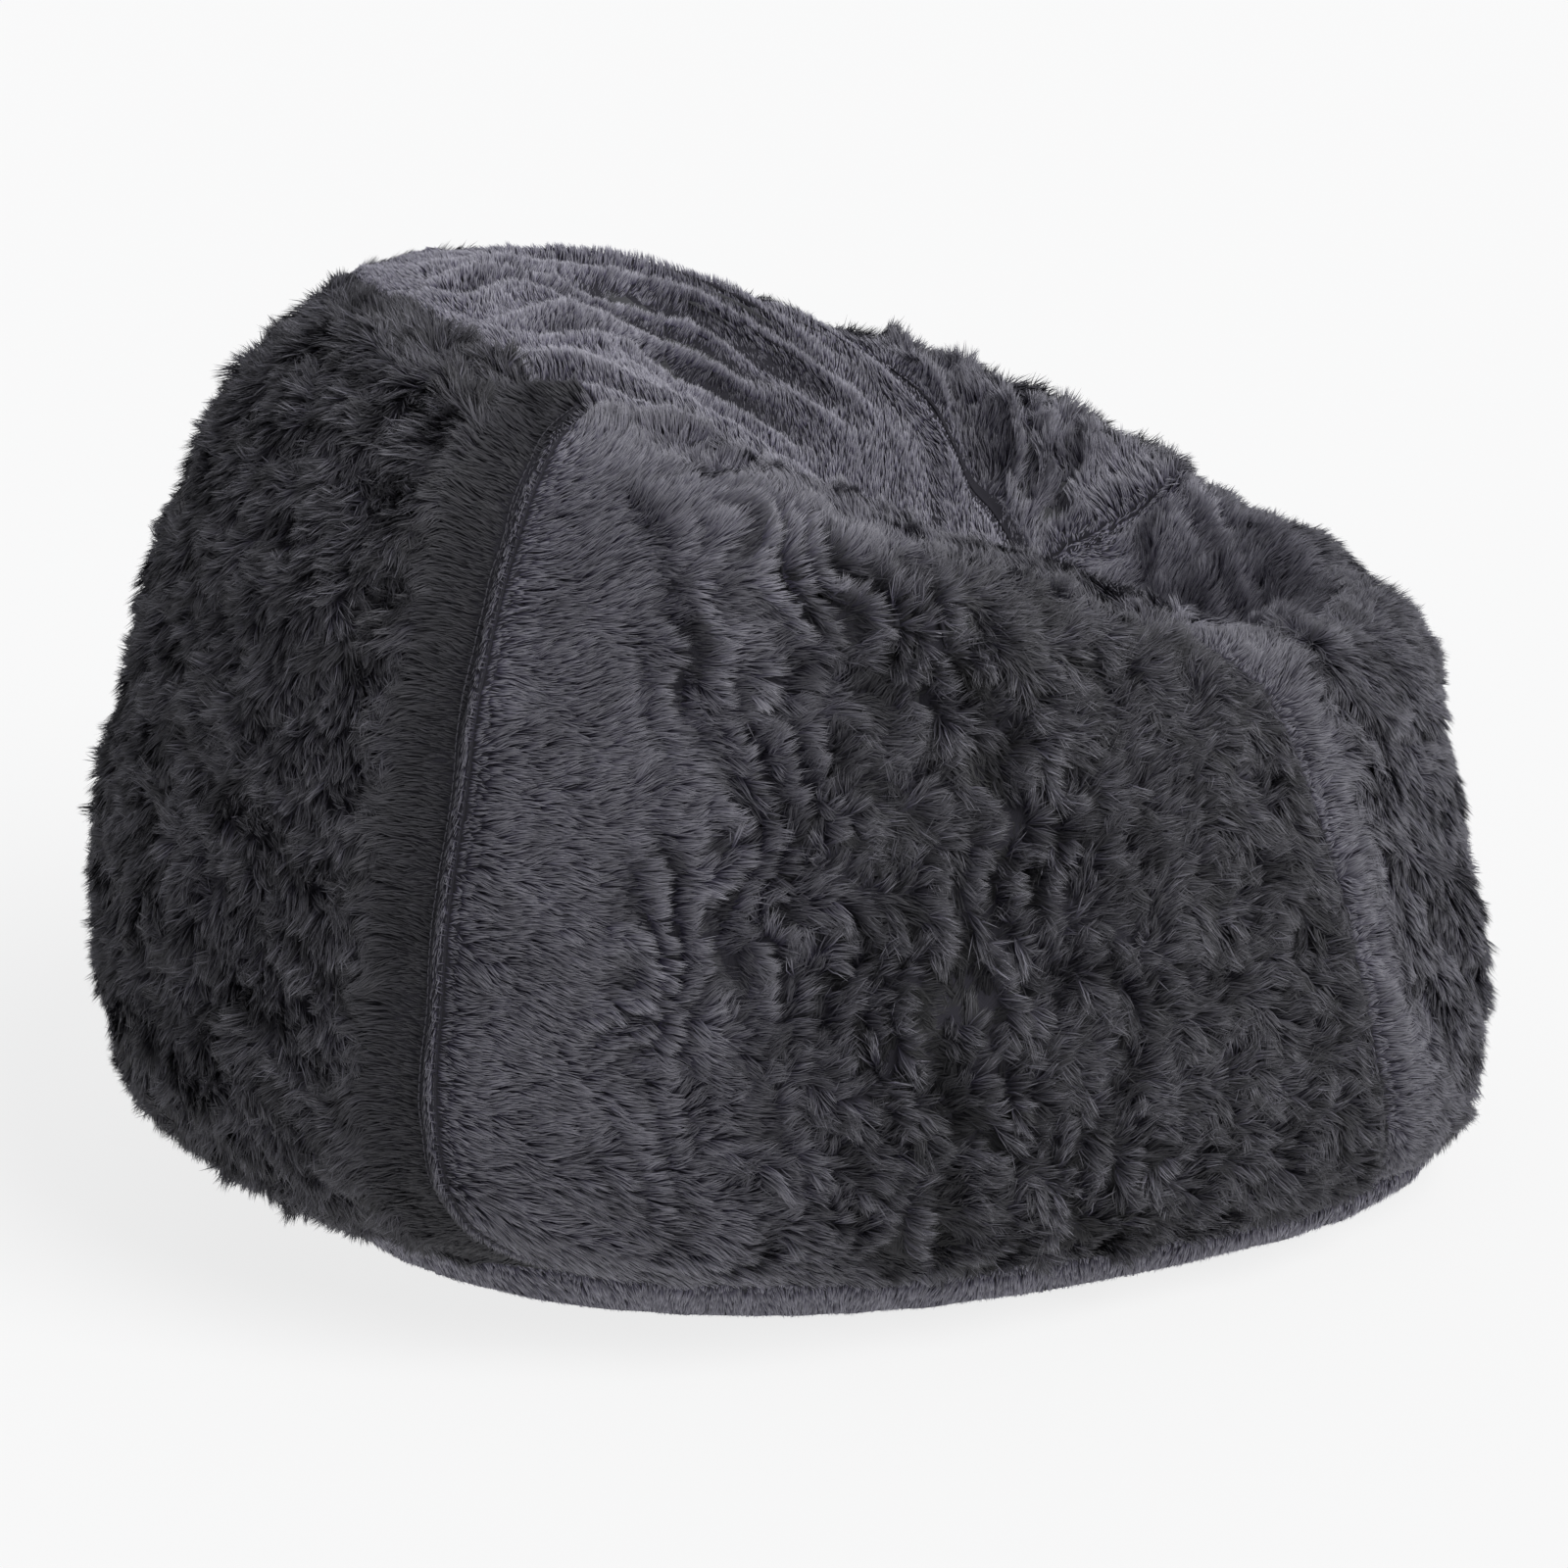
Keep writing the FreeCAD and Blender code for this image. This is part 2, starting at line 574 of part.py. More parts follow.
def add_pull_tab(label, centre, tape_base, middle):
    """A flat tab with a slot at one end; the bar across the slot turns in the slider's bridge."""
    foot = tape_base - size("coil_height") - size("slider_clearance") - size("slider_plate")
    axis = foot - size("pull_drop")
    half, thick = size("pull_width") / 2, size("pull_pin")
    slot, length = size("pull_slot"), size("pull_length")
    arm_inner = size("pull_slot_half")
    body = doc.addObject("PartDesign::Body", label)
    body.Label = label
    arms = [((k * half, 0), (k * arm_inner, slot)) for k in (-1, 1)]
    pad(body, "arms", arms, -thick / 2, thick, "pull_pin")
    pin = sketch_on(body, "YZ_Plane", "pivot_sketch", 0)
    pin.addGeometry(Part.Circle(Vector(0, 0, 0), Vector(0, 0, 1), thick / 2), False)
    bar = body.newObject("PartDesign::Pad", "pivot_bar")
    bar.Profile = pin
    bar.Midplane = True
    bar.Length = 2 * half
    bar.setExpression("Length", "sizes.pull_width")
    doc.recompute()
    blade = pad(body, "blade", [((-half, slot), (half, length))], -thick / 2, thick, "pull_pin")
    corners = [f"Edge{i + 1}" for i, edge in enumerate(blade.Shape.Edges)
               if abs(edge.tangentAt(edge.FirstParameter).z) > 0.99
               and edge.CenterOfMass.y > length - 0.1]
    rounding = body.newObject("PartDesign::Fillet", "rounded_end")
    rounding.Base = (blade, corners)
    rounding.Radius = half * TAB_ROUNDING
    doc.recompute()
    body.Placement = Placement(Vector(centre, middle, axis), Rotation())
    doc.recompute()
    NODES.append(body)


def add_zips():
    tape_base = size("zip_recess") + size("base_cloth") + size("tape_lift")
    start = size("zip_front")
    to_slider = size("slider_start") + size("slider_length") / 2
    parked = start + to_slider
    add_zip("zip", 0, tape_base, start, size("zip_length"))
    add_slider("zip_slider", 0, tape_base, parked, with_bridge=True)
    add_pull_tab("zip_pull_tab", 0, tape_base, parked)
    side = size("liner_zip_side")
    inner_base = size("liner_floor") + size("liner_thickness") + size("tape_lift")
    inner_start = start + size("liner_zip_start")
    add_zip("liner_zip", side, inner_base, inner_start, size("liner_zip_length"))
    add_slider("liner_zip_slider", side, inner_base, inner_start + to_slider, with_bridge=False)
    seam = []
    wide, edge = size("zip_stitch_width"), size("zip_opening_half")
    for x in (edge + size("zip_stitch_near"), edge + size("zip_stitch_far")):
        for side in (1, -1):
            low = Vector(side * x - wide / 2, start, size("zip_recess") - size("zip_stitch_drop"))
            seam.append(Part.makeBox(wide, size("zip_length"), size("zip_stitch_thickness"), low))
    add_shape("zip_topstitch", Part.makeCompound(seam))


def add_care_label():
    x, y, z = size("label_side"), size("label_back"), size("base_cloth") + size("label_lift")
    add_box("care_label", (x, y, z),
            (x + size("label_width"), y + size("label_length"), z + size("label_thickness")),
            Length="label_width", Width="label_length", Height="label_thickness")


add_cover()
add_topstitching()
add_liner()
add_filling()
add_base_cloth()
add_zips()
add_care_label()
doc.recompute()

for item in doc.Objects:
    if "Invalid" in item.State or "Error" in item.State:
        raise RuntimeError(f"{item.Label} is {item.State}")
for node in NODES:
    if node.Shape.isNull() or not node.Shape.isValid() or not node.Shape.Solids:
        raise RuntimeError(f"{node.Label} has no valid solid")
    node.Shape.exportStep(f"parts/{node.Label}.step")
    print(f"{node.Label:24s} {len(node.Shape.Solids)} solids {node.Shape.Volume / 1000:10.2f} cm3")
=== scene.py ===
import math

import bpy
import numpy as np
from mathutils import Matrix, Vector
from mathutils.bvhtree import BVHTree


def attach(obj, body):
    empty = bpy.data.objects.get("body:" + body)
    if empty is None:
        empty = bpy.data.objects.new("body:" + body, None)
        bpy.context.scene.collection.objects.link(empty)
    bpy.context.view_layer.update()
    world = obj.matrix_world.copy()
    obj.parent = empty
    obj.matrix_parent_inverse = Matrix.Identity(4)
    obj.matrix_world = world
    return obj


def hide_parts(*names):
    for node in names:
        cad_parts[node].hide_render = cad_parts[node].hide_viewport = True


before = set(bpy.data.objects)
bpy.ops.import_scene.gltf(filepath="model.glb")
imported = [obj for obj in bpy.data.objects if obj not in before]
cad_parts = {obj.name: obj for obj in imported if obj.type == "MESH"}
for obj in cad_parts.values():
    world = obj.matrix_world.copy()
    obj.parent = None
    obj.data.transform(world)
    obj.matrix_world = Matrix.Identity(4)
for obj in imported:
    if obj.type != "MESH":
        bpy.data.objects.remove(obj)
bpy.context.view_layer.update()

# Bean bag chair in long-pile faux fur. Metres, +Z up, the chair faces -Y, its left arm is on +X.
# A point of the cover is named by an angle (0 is the front, 90 degrees the left arm) and a level:
# 0 is the floor edge, 1 the widest ring, 2 the shoulder, 3 the crest, 4 the bottom of the hollow.

rng = np.random.default_rng(20)

# ring: reach to the front and back, half width, centre, squareness in front and behind
RINGS = {
    "floor": (0.455, 0.324, 0.300, 0.076, 3.0, 2.0),
    "wide": (0.4875, 0.4875, 0.394, 0.022, 2.7, 2.2),
    "shoulder": (0.456, 0.402, 0.355, 0.029, 2.4, 2.3),
    "crest": (0.387, 0.226, 0.304, 0.023, 2.2, 2.3),
}
RIM_ROUNDING, CREST_EASE = 1.66, 0.0095
HOLLOW_CENTRE, HOLLOW_HEIGHT = 0.175, 0.299      # how far forward and how high its bottom is
BAND_LEVEL = 0.26
SEAMS = {
    "back_right": [(-145.3, BAND_LEVEL), (-145.3, 1.2), (-145.3, 2.2), (-145.0, 3.0)],
    "front_right": [(-50.5, BAND_LEVEL), (-54, 1.2), (-61, 2.2), (-66, 2.9), (-64, 3.25), (-50, 3.55)],
    "front_left": [(45, BAND_LEVEL), (38, 1.2), (24, 2.3), (18, 2.9), (24, 3.3), (45, 3.58)],
    "back_left": [(146, BAND_LEVEL), (145, 1.2), (142, 2.1), (140, 2.7)],
    "seat_back": [(-145.0, 3.0), (-162, 2.98), (-180, 2.96), (-200, 2.86), (-220, 2.7)],
    "seat_right": [(-145.0, 3.0), (-120, 3.14), (-90, 3.28), (-68, 3.42), (-50, 3.55)],
    "seat_left": [(140, 2.7), (112, 2.84), (88, 2.92), (69, 3.08), (60, 3.32), (45, 3.58)],
    "seat_front": [(-50, 3.55), (-20, 3.6), (12, 3.61), (45, 3.58)],
}


# ---- the body surface

def ring_height(name, a):
    """Height of a ring at an angle: the front is low, the left arm a little higher than the right."""
    c, s = np.cos(a), np.sin(a)
    if name == "floor":
        return 0 * a
    if name == "wide":
        return 0.141 - 0.025 * c + 0.010 * s
    if name == "shoulder":
        return 0.439 - 0.082 * c
    return 0.541 - 0.118 * c + 0.029 * s - 0.010 * np.cos(2 * a) + 0.005 * np.sin(2 * a)


def ring(name, a):
    """World points of a ring: half a superellipse in front and half behind."""
    front, back, half, centre, square_front, square_back = RINGS[name]
    c, s = np.cos(a), np.sin(a)
    reach = np.where(c > 0, front - centre, back + centre)
    power = np.where(c > 0, square_front, square_back)
    radius = ((abs(c) / reach) ** power + (abs(s) / half) ** power) ** (-1 / power)
    return np.stack([radius * s, -(centre + radius * c), ring_height(name, a)], -1)


def dish(a, radius):
    """The seat hollow, from its bottom at radius 0 to the crest at radius 1."""
    crest = ring("crest", a)
    centre = RINGS["crest"][3]
    shift = (HOLLOW_CENTRE - centre) * (1 - radius ** 2)
    rise = np.sin(np.pi * radius / 2) ** 2
    return np.stack([crest[..., 0] * radius, -centre - shift + (crest[..., 1] + centre) * radius,
                     HOLLOW_HEIGHT + (crest[..., 2] - HOLLOW_HEIGHT) * rise], -1)


def skin(a, level):
    """The outside of the pile at angles in radians and levels, as arrays."""
    a, level = np.broadcast_arrays(np.asarray(a, float), np.asarray(level, float))
    knots = [ring(name, a) for name in RINGS]
    out = dish(a, np.clip(4 - level, 0, 1))
    inward = unit(-knots[3] * [1, 1, 0] - [0, RINGS["crest"][3], 0])
    for span in range(3):
        t = np.clip(level - span, 0, 1)[..., None]
        low, high = knots[span], knots[span + 1]
        if span == 2:
            width = np.linalg.norm((high - low)[..., :2], axis=-1, keepdims=True)
            start = unit(high - knots[1]) * (high - low)[..., 2:] * RIM_ROUNDING
            end = inward * (width * RIM_ROUNDING + CREST_EASE)
        else:
            start = (high - low) * [0.6, 0.6, 1.2] if span == 0 else (high - knots[0]) * 0.5
            end = (knots[span + 2] - low) * 0.5
        value = (low * (2 * t ** 3 - 3 * t ** 2 + 1) + start * (t ** 3 - 2 * t ** 2 + t)
                 + high * (3 * t ** 2 - 2 * t ** 3) + end * (t ** 3 - t ** 2))
        inside = (level >= span) & (level < span + 1)
        out = np.where(inside[..., None], value, out)
    return out


def unit(v):
    return v / np.maximum(np.linalg.norm(v, axis=-1, keepdims=True), 1e-12)


def square_to(v, axis):
    """Unit directions of v with the part along a unit axis taken out."""
    return unit(v - (v * axis).sum(-1, keepdims=True) * axis)


def turned(v, axis, angle):
    """Directions square to an axis, turned about it by angles in radians."""
    return v * np.cos(angle)[:, None] + np.cross(axis, v) * np.sin(angle)[:, None]


def far_along(line):
    """Distance along a line of points from its start to each of them."""
    return np.concatenate([[0], np.cumsum(np.linalg.norm(np.diff(line, axis=0), axis=1))])


def grid_faces(index):
    """Quads between the neighbours in a grid of point numbers."""
    return np.stack([index[:-1, :-1], index[1:, :-1], index[1:, 1:], index[:-1, 1:]], -1).reshape(-1, 4)


def closed_grid(n, m):
    """Quads of n columns of m points each, closed around."""
    index = np.arange(n * m).reshape(n, m)
    return grid_faces(np.vstack([index, index[:1]])).tolist()


def new_mesh(label, points, faces):
    mesh = bpy.data.meshes.new(label)
    mesh.from_pydata(np.asarray(points).tolist(), [], faces)
    return mesh


def linked(name, data):
    """A new object in the scene."""
    ob = bpy.data.objects.new(name, data)
    bpy.context.scene.collection.objects.link(ob)
    return ob


# ---- seam lines and panels

def along_points(points, t):
    """A smooth line through points, for an array t from 0 to 1."""
    pts = np.array(points, float)
    pts = np.vstack([2 * pts[0] - pts[1], pts, 2 * pts[-1] - pts[-2]])
    spans = len(points) - 1
    t = np.asarray(t, float)
    i = np.minimum((t * spans).astype(int), spans - 1)
    f = (t * spans - i)[..., None]
    p0, p1, p2, p3 = (pts[i + k] for k in range(4))
    return 0.5 * (2 * p1 + (p2 - p0) * f + (2 * p0 - 5 * p1 + 4 * p2 - p3) * f ** 2
                  + (3 * p1 - p0 - 3 * p2 + p3) * f ** 3)


def blended(bottom, top, first, last, s, t):
    """A patch between four edges, whose corners meet, at shares s and t."""
    zero, one = np.zeros(1), np.ones(1)
    c00, c10, c01, c11 = bottom(zero)[0], bottom(one)[0], top(zero)[0], top(one)[0]
    s_, t_ = s[..., None], t[..., None]
    return ((1 - t_) * bottom(s) + t_ * top(s) + (1 - s_) * first(t) + s_ * last(t)
            - (1 - s_) * (1 - t_) * c00 - s_ * (1 - t_) * c10 - (1 - s_) * t_ * c01 - s_ * t_ * c11)


def to_flat(points):
    """(degrees, level) points on a flat disc, with the bottom of the hollow in its middle."""
    points = np.asarray(points, float)
    a, r = np.radians(points[..., 0]), 4 - points[..., 1]
    return np.stack([r * np.cos(a), r * np.sin(a)], -1)


def side_map(first_seam, last_seam, top_points, turn=0.0):
    """A panel from the band up to a line on the brim, between two upright seams."""
    start = SEAMS[first_seam]
    end = [(a + turn, v) for a, v in SEAMS[last_seam]]
    brim = to_flat(top_points)

    def top(s):
        flat = along_points(brim, s)
        angle = np.degrees(np.arctan2(flat[..., 1], flat[..., 0]))
        expected = start[-1][0] + (end[-1][0] - start[-1][0]) * s
        angle = angle + 360 * np.round((expected - angle) / 360)
        return np.stack([angle, 4 - np.hypot(flat[..., 0], flat[..., 1])], -1)

    def bottom(s):
        return np.stack([start[0][0] + (end[0][0] - start[0][0]) * s, BAND_LEVEL + 0 * s], -1)

    def place(s, t):
        return to_flat(blended(bottom, top, lambda x: along_points(start, x),
                               lambda x: along_points(end, x), s, t))
    return place


def seat_map(s, t):
    """The seat panel, inside the four seams around it."""
    def edge(name):
        points = to_flat(SEAMS[name])
        return lambda x: along_points(points, x)
    right, left = edge("seat_right"), edge("seat_left")
    return blended(edge("seat_front"), edge("seat_back"),
                   lambda x: right(1 - x), lambda x: left(1 - x), s, t)


def band_map(start, end):
    """Half of the base band, between two angles."""
    def place(s, t):
        return to_flat(np.stack([start + (end - start) * s, BAND_LEVEL * t], -1))
    return place


PANELS = {
    "right_side": side_map("back_right", "front_right", SEAMS["seat_right"]),
    "front": side_map("front_right", "front_left", SEAMS["seat_front"]),
    "left_side": side_map("front_left", "back_left", SEAMS["seat_left"][::-1]),
    "back": side_map("back_left", "back_right", SEAMS["seat_back"][::-1], turn=360),
    "seat": seat_map,
    "band_right": band_map(-180, 0),
    "band_left": band_map(0, 180),
}
NODES = {name: name + "_panel" for name in ("right_side", "front", "left_side", "back", "seat")}
NODES.update(band_right="base_band_right", band_left="base_band_left")
LINER_NODES = {name: f"liner_{name.replace('_side', '')}_panel" for name in NODES}
LINER_NODES.update(band_right="liner_band_right", band_left="liner_band_left")
# each cut's flat width and length, and its area, in metres
CUTS = {
    "right_side": (0.67, 0.76, 0.392), "front": (0.77, 0.76, 0.360), "left_side": (0.88, 0.68, 0.469),
    "back": (0.61, 0.77, 0.411), "seat": (0.76, 0.71, 0.307), "band_right": (1.20, 0.06, 0.050),
    "band_left": (1.20, 0.06, 0.054), "base_left": (0.28, 0.75, 0.170), "base_right": (0.28, 0.75, 0.170),
}


# ---- the form grid

AROUND = 480
LEVELS = np.concatenate([np.linspace(0, 1, 34, endpoint=False), np.linspace(1, 2, 60, endpoint=False),
                         np.linspace(2, 3, 30, endpoint=False), np.linspace(3, 3.995, 66)])
ANGLES = np.radians(np.arange(AROUND) * 360 / AROUND - 180)


def grid_normals(points):
    """Outward normals of a grid that closes around its first axis."""
    around = np.roll(points, -1, 0) - np.roll(points, 1, 0)
    return unit(np.cross(around, np.gradient(points, axis=1)))


def look_up(table, a, level):
    """Values of a form-grid table at angles and levels."""
    x = (np.degrees(a) + 180) % 360 / 360 * AROUND
    y = np.interp(level, LEVELS, np.arange(len(LEVELS)))
    i, j = x.astype(int) % AROUND, np.minimum(y.astype(int), len(LEVELS) - 2)
    u, v = x - np.floor(x), y - j
    if table.ndim == 3:
        u, v = u[..., None], v[..., None]
    k = (i + 1) % AROUND
    return ((1 - u) * (1 - v) * table[i, j] + u * (1 - v) * table[k, j]
            + (1 - u) * v * table[i, j + 1] + u * v * table[k, j + 1])


def polar(flat):
    """Angles in radians and levels of points on the flat disc."""
    return np.arctan2(flat[..., 1], flat[..., 0]), 4 - np.minimum(np.hypot(flat[..., 0], flat[..., 1]), 4)


def line_on_skin(points, count=160, flat=False):
    """A line through (degrees, level) points on the design surface, as world points."""
    pts = along_points(to_flat(points) if flat else points, np.linspace(0, 1, count))
    a, level = polar(pts) if flat else (np.radians(pts[:, 0]), pts[:, 1])
    return skin(a, level)


def nearest_on(points, line):
    """Distance of each point to a world line, given as close samples, and the share along it."""
    flat_points = points.reshape(-1, 3)
    best, share = np.zeros(len(flat_points)), np.zeros(len(flat_points))
    for start in range(0, len(flat_points), 20000):
        block = flat_points[start:start + 20000]
        d = np.linalg.norm(block[:, None] - line[None], axis=-1)
        best[start:start + 20000], share[start:start + 20000] = d.min(1), d.argmin(1) / (len(line) - 1)
    return best.reshape(points.shape[:-1]), share.reshape(points.shape[:-1])


def distance_to(points, line):
    """Distance of each point to a world line."""
    return nearest_on(points, line)[0]


def waves(points, scale, seed, count=14):
    """Smooth noise, about -1 to 1, whose features are about scale metres wide."""
    r = np.random.default_rng(seed)
    k = unit(r.normal(size=(count, 3))) * (2 * np.pi / (scale * 2)) * r.uniform(0.6, 1.5, (count, 1))
    phase = r.uniform(0, 2 * np.pi, count)
    return np.sin(points @ k.T + phase).sum(-1) * (1.2 / math.sqrt(count / 2)) * 0.7


def ramp(x, low, high):
    """0 below low, 1 above high, and a smooth rise between them."""
    t = np.clip((x - low) / (high - low), 0, 1)
    return t * t * (3 - 2 * t)


ROW_SPACING, ROW_RELIEF = 0.031, 0.0030


def row_wave(points):
    """Wavy upright rows in the tousled pile, from -1 between them to 1 on them."""
    return np.sin(2 * np.pi * (points[..., 1] / ROW_SPACING + 0.55 * waves(points, 0.045, 11)))


def row_strength(from_seam, level):
    """How strong the rows are by the distance from the arm's back seam and the level."""
    return ramp(from_seam, 0.07, 0.13) * (1 - ramp(from_seam, 0.36, 0.50)) * (1 - ramp(level, 2.35, 3.1))


def row_breaks(points):
    """Where the rows fade, so that they stay patchy."""
    return 0.40 + 0.85 * ramp(waves(points, 0.075, 21), -0.6, 0.5)


design = skin(ANGLES[:, None], LEVELS[None])
design_normal = grid_normals(design)


# ---- folds and seam grooves

# A fold is a groove through (degrees, level) points: depth and half width in metres.
FOLDS = [
    ([(-158, 2.97), (-154, 3.04), (-149, 3.09), (-143, 3.12), (-136, 3.13), (-127, 3.12), (-118, 3.15),
      (-106, 3.24)], 0.0175, 0.014),
    ([(184, 3.06), (178, 3.14), (158, 3.25), (141, 3.31), (126, 3.34), (112, 3.38), (98, 3.43), (91, 3.48)],
     0.0120, 0.012),
    ([(164, 3.03), (153, 3.13), (142, 3.20), (125, 3.25), (114, 3.29), (103, 3.33), (93, 3.37), (81, 3.43)],
     0.0115, 0.011),
    ([(146, 3.06), (134, 3.16), (122, 3.20), (110, 3.23), (100, 3.25), (89, 3.31), (80, 3.36), (73, 3.41)],
     0.0105, 0.011),
    ([(119, 3.08), (106, 3.13), (96, 3.14), (88, 3.18), (80, 3.24), (72, 3.31), (66, 3.38)], 0.0095, 0.010),
    ([(104, 2.97), (90, 3.02), (80, 3.08), (74, 3.16), (69, 3.26), (63, 3.42)], 0.0060, 0.010),
    ([(50, 3.0), (52, 3.24), (52, 3.36), (54, 3.47)], 0.0100, 0.014),
    ([(24, 2.76), (33, 3.10), (38, 3.37), (46, 3.52)], 0.0065, 0.007),
    ([(33, 2.70), (40, 3.05), (44, 3.34), (49, 3.50)], 0.0055, 0.006),
]
GROOVES = {"back_right": 0.0020, "front_right": 0.0040, "front_left": 0.0045, "back_left": 0.0035,
           "seat_back": 0.0035, "seat_right": 0.0020, "seat_left": 0.0060, "seat_front": 0.0045}
FLAT_SEAMS = {"seat_back", "seat_right", "seat_left", "seat_front"}
BAND_GROOVE, GROOVE_WIDTH = 0.0055, 0.006

# twin topstitching: the gap between its rows, each row's distance from the seam as a share of that
# gap, and the distance of the line midway between them
NEEDLE_GAUGE, TWIN_SHARES, TWIN_MIDDLE = 0.010, (0.2, 1.2), 0.007
TWIN_SEAMS = ("back_right", "front_right", "front_left", "back_left")


def seam_line(name, count=220):
    """A seam as world points on the design surface."""
    return line_on_skin(SEAMS[name], count, flat=name in FLAT_SEAMS)


seam_gap = {name: distance_to(design, seam_line(name)) for name in SEAMS}


def beside_seam(name, sideways, count=220):
    """A seam's line moved sideways along the cover, as the rows of topstitching lie."""
    line = seam_line(name, count)
    pts = along_points(SEAMS[name], np.linspace(0, 1, count))
    normal = unit(look_up(design_normal, np.radians(pts[:, 0]), pts[:, 1]))
    return line + unit(np.cross(normal, np.gradient(line, axis=0))) * sideways


thread_gap = {name: distance_to(design, beside_seam(name, TWIN_MIDDLE)) for name in TWIN_SEAMS}
BAND_LINE = skin(np.radians(np.linspace(-180, 180, 720)), BAND_LEVEL)
seam_gap["band"] = distance_to(design, BAND_LINE)


CLOTH_VOXEL, CLOTH_FRAMES, LOOK_FROM = 0.012, 18, 0.05
PINNED_BELOW, PINNED_WIDTH, PINNED_SHARE = 0.035, 0.016, 0.9


def simulated_swell():
    """A short cloth simulation of the filled cover: how far each point moves along its normal."""
    rows = slice(0, len(LEVELS), 2)
    cols = slice(0, AROUND, 2)
    pts = design[cols, rows]
    n, m = pts.shape[:2]
    caps = [tuple(range(0, n * m, m))[::-1], tuple(range(m - 1, n * m, m))]
    ob = linked("cloth_form", new_mesh("cloth_form", pts.reshape(-1, 3), closed_grid(n, m) + caps))
    bpy.context.view_layer.objects.active = ob
    remesh = ob.modifiers.new("remesh", "REMESH")
    remesh.mode, remesh.voxel_size = "VOXEL", CLOTH_VOXEL
    shape = bpy.data.meshes.new_from_object(ob.evaluated_get(bpy.context.evaluated_depsgraph_get()))
    ob.modifiers.clear()
    ob.data = shape
    co = np.array([v.co for v in shape.vertices])
    lines = np.concatenate([seam_line(name, 90) for name in SEAMS] + [BAND_LINE[::6]])
    gap = distance_to(co, lines)
    pin = ob.vertex_groups.new(name="pin")
    for i, d in enumerate(gap):
        beside = float(np.clip(1 - d / PINNED_WIDTH, 0, 1)) * PINNED_SHARE
        pin.add([i], 1.0 if co[i, 2] < PINNED_BELOW else beside, "REPLACE")
    cloth = ob.modifiers.new("cloth", "CLOTH")
    settings = cloth.settings
    settings.quality, settings.mass = 5, 0.4
    settings.tension_stiffness = settings.compression_stiffness = 18
    settings.shear_stiffness, settings.bending_stiffness = 6, 0.6
    settings.use_pressure, settings.uniform_pressure_force = True, 3.5
    settings.effector_weights.gravity = 0.25
    settings.vertex_group_mass, settings.pin_stiffness = "pin", 1.0
    settings.shrink_min = -0.012
    cloth.point_cache.frame_start, cloth.point_cache.frame_end = 1, CLOTH_FRAMES
    for frame_number in range(1, CLOTH_FRAMES + 1):
        bpy.context.scene.frame_set(frame_number)
    done = ob.evaluated_get(bpy.context.evaluated_depsgraph_get())
    tree = BVHTree.FromPolygons([v.co for v in done.data.vertices], [p.vertices for p in done.data.polygons])
    moved = np.zeros((n, m))
    for i in range(n):
        for j in range(m):
            normal = Vector(design_normal[cols, rows][i, j])
            start = Vector(pts[i, j]) + normal * LOOK_FROM
            hit = tree.ray_cast(start, -normal, 2 * LOOK_FROM)[3]
            moved[i, j] = LOOK_FROM - hit if hit is not None else 0.0
    bpy.data.objects.remove(ob)
    bpy.context.scene.frame_set(1)
    angles = np.arange(n + 1) / n * AROUND
    full = np.vstack([moved, moved[:1]])
    full = np.array([np.interp(np.arange(AROUND), angles, full[:, j]) for j in range(m)]).T
    return np.array([np.interp(LEVELS, LEVELS[rows], full[i]) for i in range(AROUND)])


def smoothed(table, times):
    """A form-grid table with each value averaged with its neighbours."""
    for _ in range(times):
        table = (table + np.roll(table, 1, 0) + np.roll(table, -1, 0)) / 3
        padded = np.pad(table, ((0, 0), (1, 1)), mode="edge")
        table = (padded[:, :-2] + padded[:, 1:-1] + padded[:, 2:]) / 3
    return table


swell = smoothed(simulated_swell(), 2)
swell = np.clip(swell - np.median(swell), -0.004, 0.007)
relief, crease = np.zeros_like(swell), np.zeros_like(swell)
for points, depth, width in FOLDS:
    d, share = nearest_on(design, line_on_skin(points, 120))
    depth = depth * (0.55 + 0.45 * ramp(share, 0, 0.12)) * (1 - ramp(share, 0.72, 1))
    relief += depth * (0.75 * np.exp(-((d - 1.9 * width) / (0.9 * width)) ** 2) - np.exp(-(d / width) ** 2))
    # crease: nearness to a fold's middle, which shortens the pile and also paints shade into its colour
    crease = np.maximum(crease, np.minimum(depth / 0.011, 1.2) * np.exp(-(d / (0.62 * width)) ** 2))
# the pile lies low on the arm's brim, where the first fold runs beside it
brim = np.exp(-(distance_to(design, line_on_skin(FOLDS[0][0], 120)) / 0.024) ** 2)
for name, depth in GROOVES.items():
    relief -= depth * np.exp(-(seam_gap[name] / GROOVE_WIDTH) ** 2)
relief -= BAND_GROOVE * np.exp(-(seam_gap["band"] / GROOVE_WIDTH) ** 2)
relief = np.clip(relief, -0.018, 0.009)
lumps = 0.0022 * waves(design, 0.075, 3) * np.clip(LEVELS[None] - 0.2, 0, 1)
lumps += (ROW_RELIEF * row_strength(seam_gap["back_right"], LEVELS[None]) * row_wave(design)
          * row_breaks(design) * (ANGLES < 0)[:, None] * ramp(LEVELS[None], 0.30, 0.55))

offset = relief + swell + lumps
form = design + design_normal * offset[..., None]
form_normal = grid_normals(form)


# ---- the pile

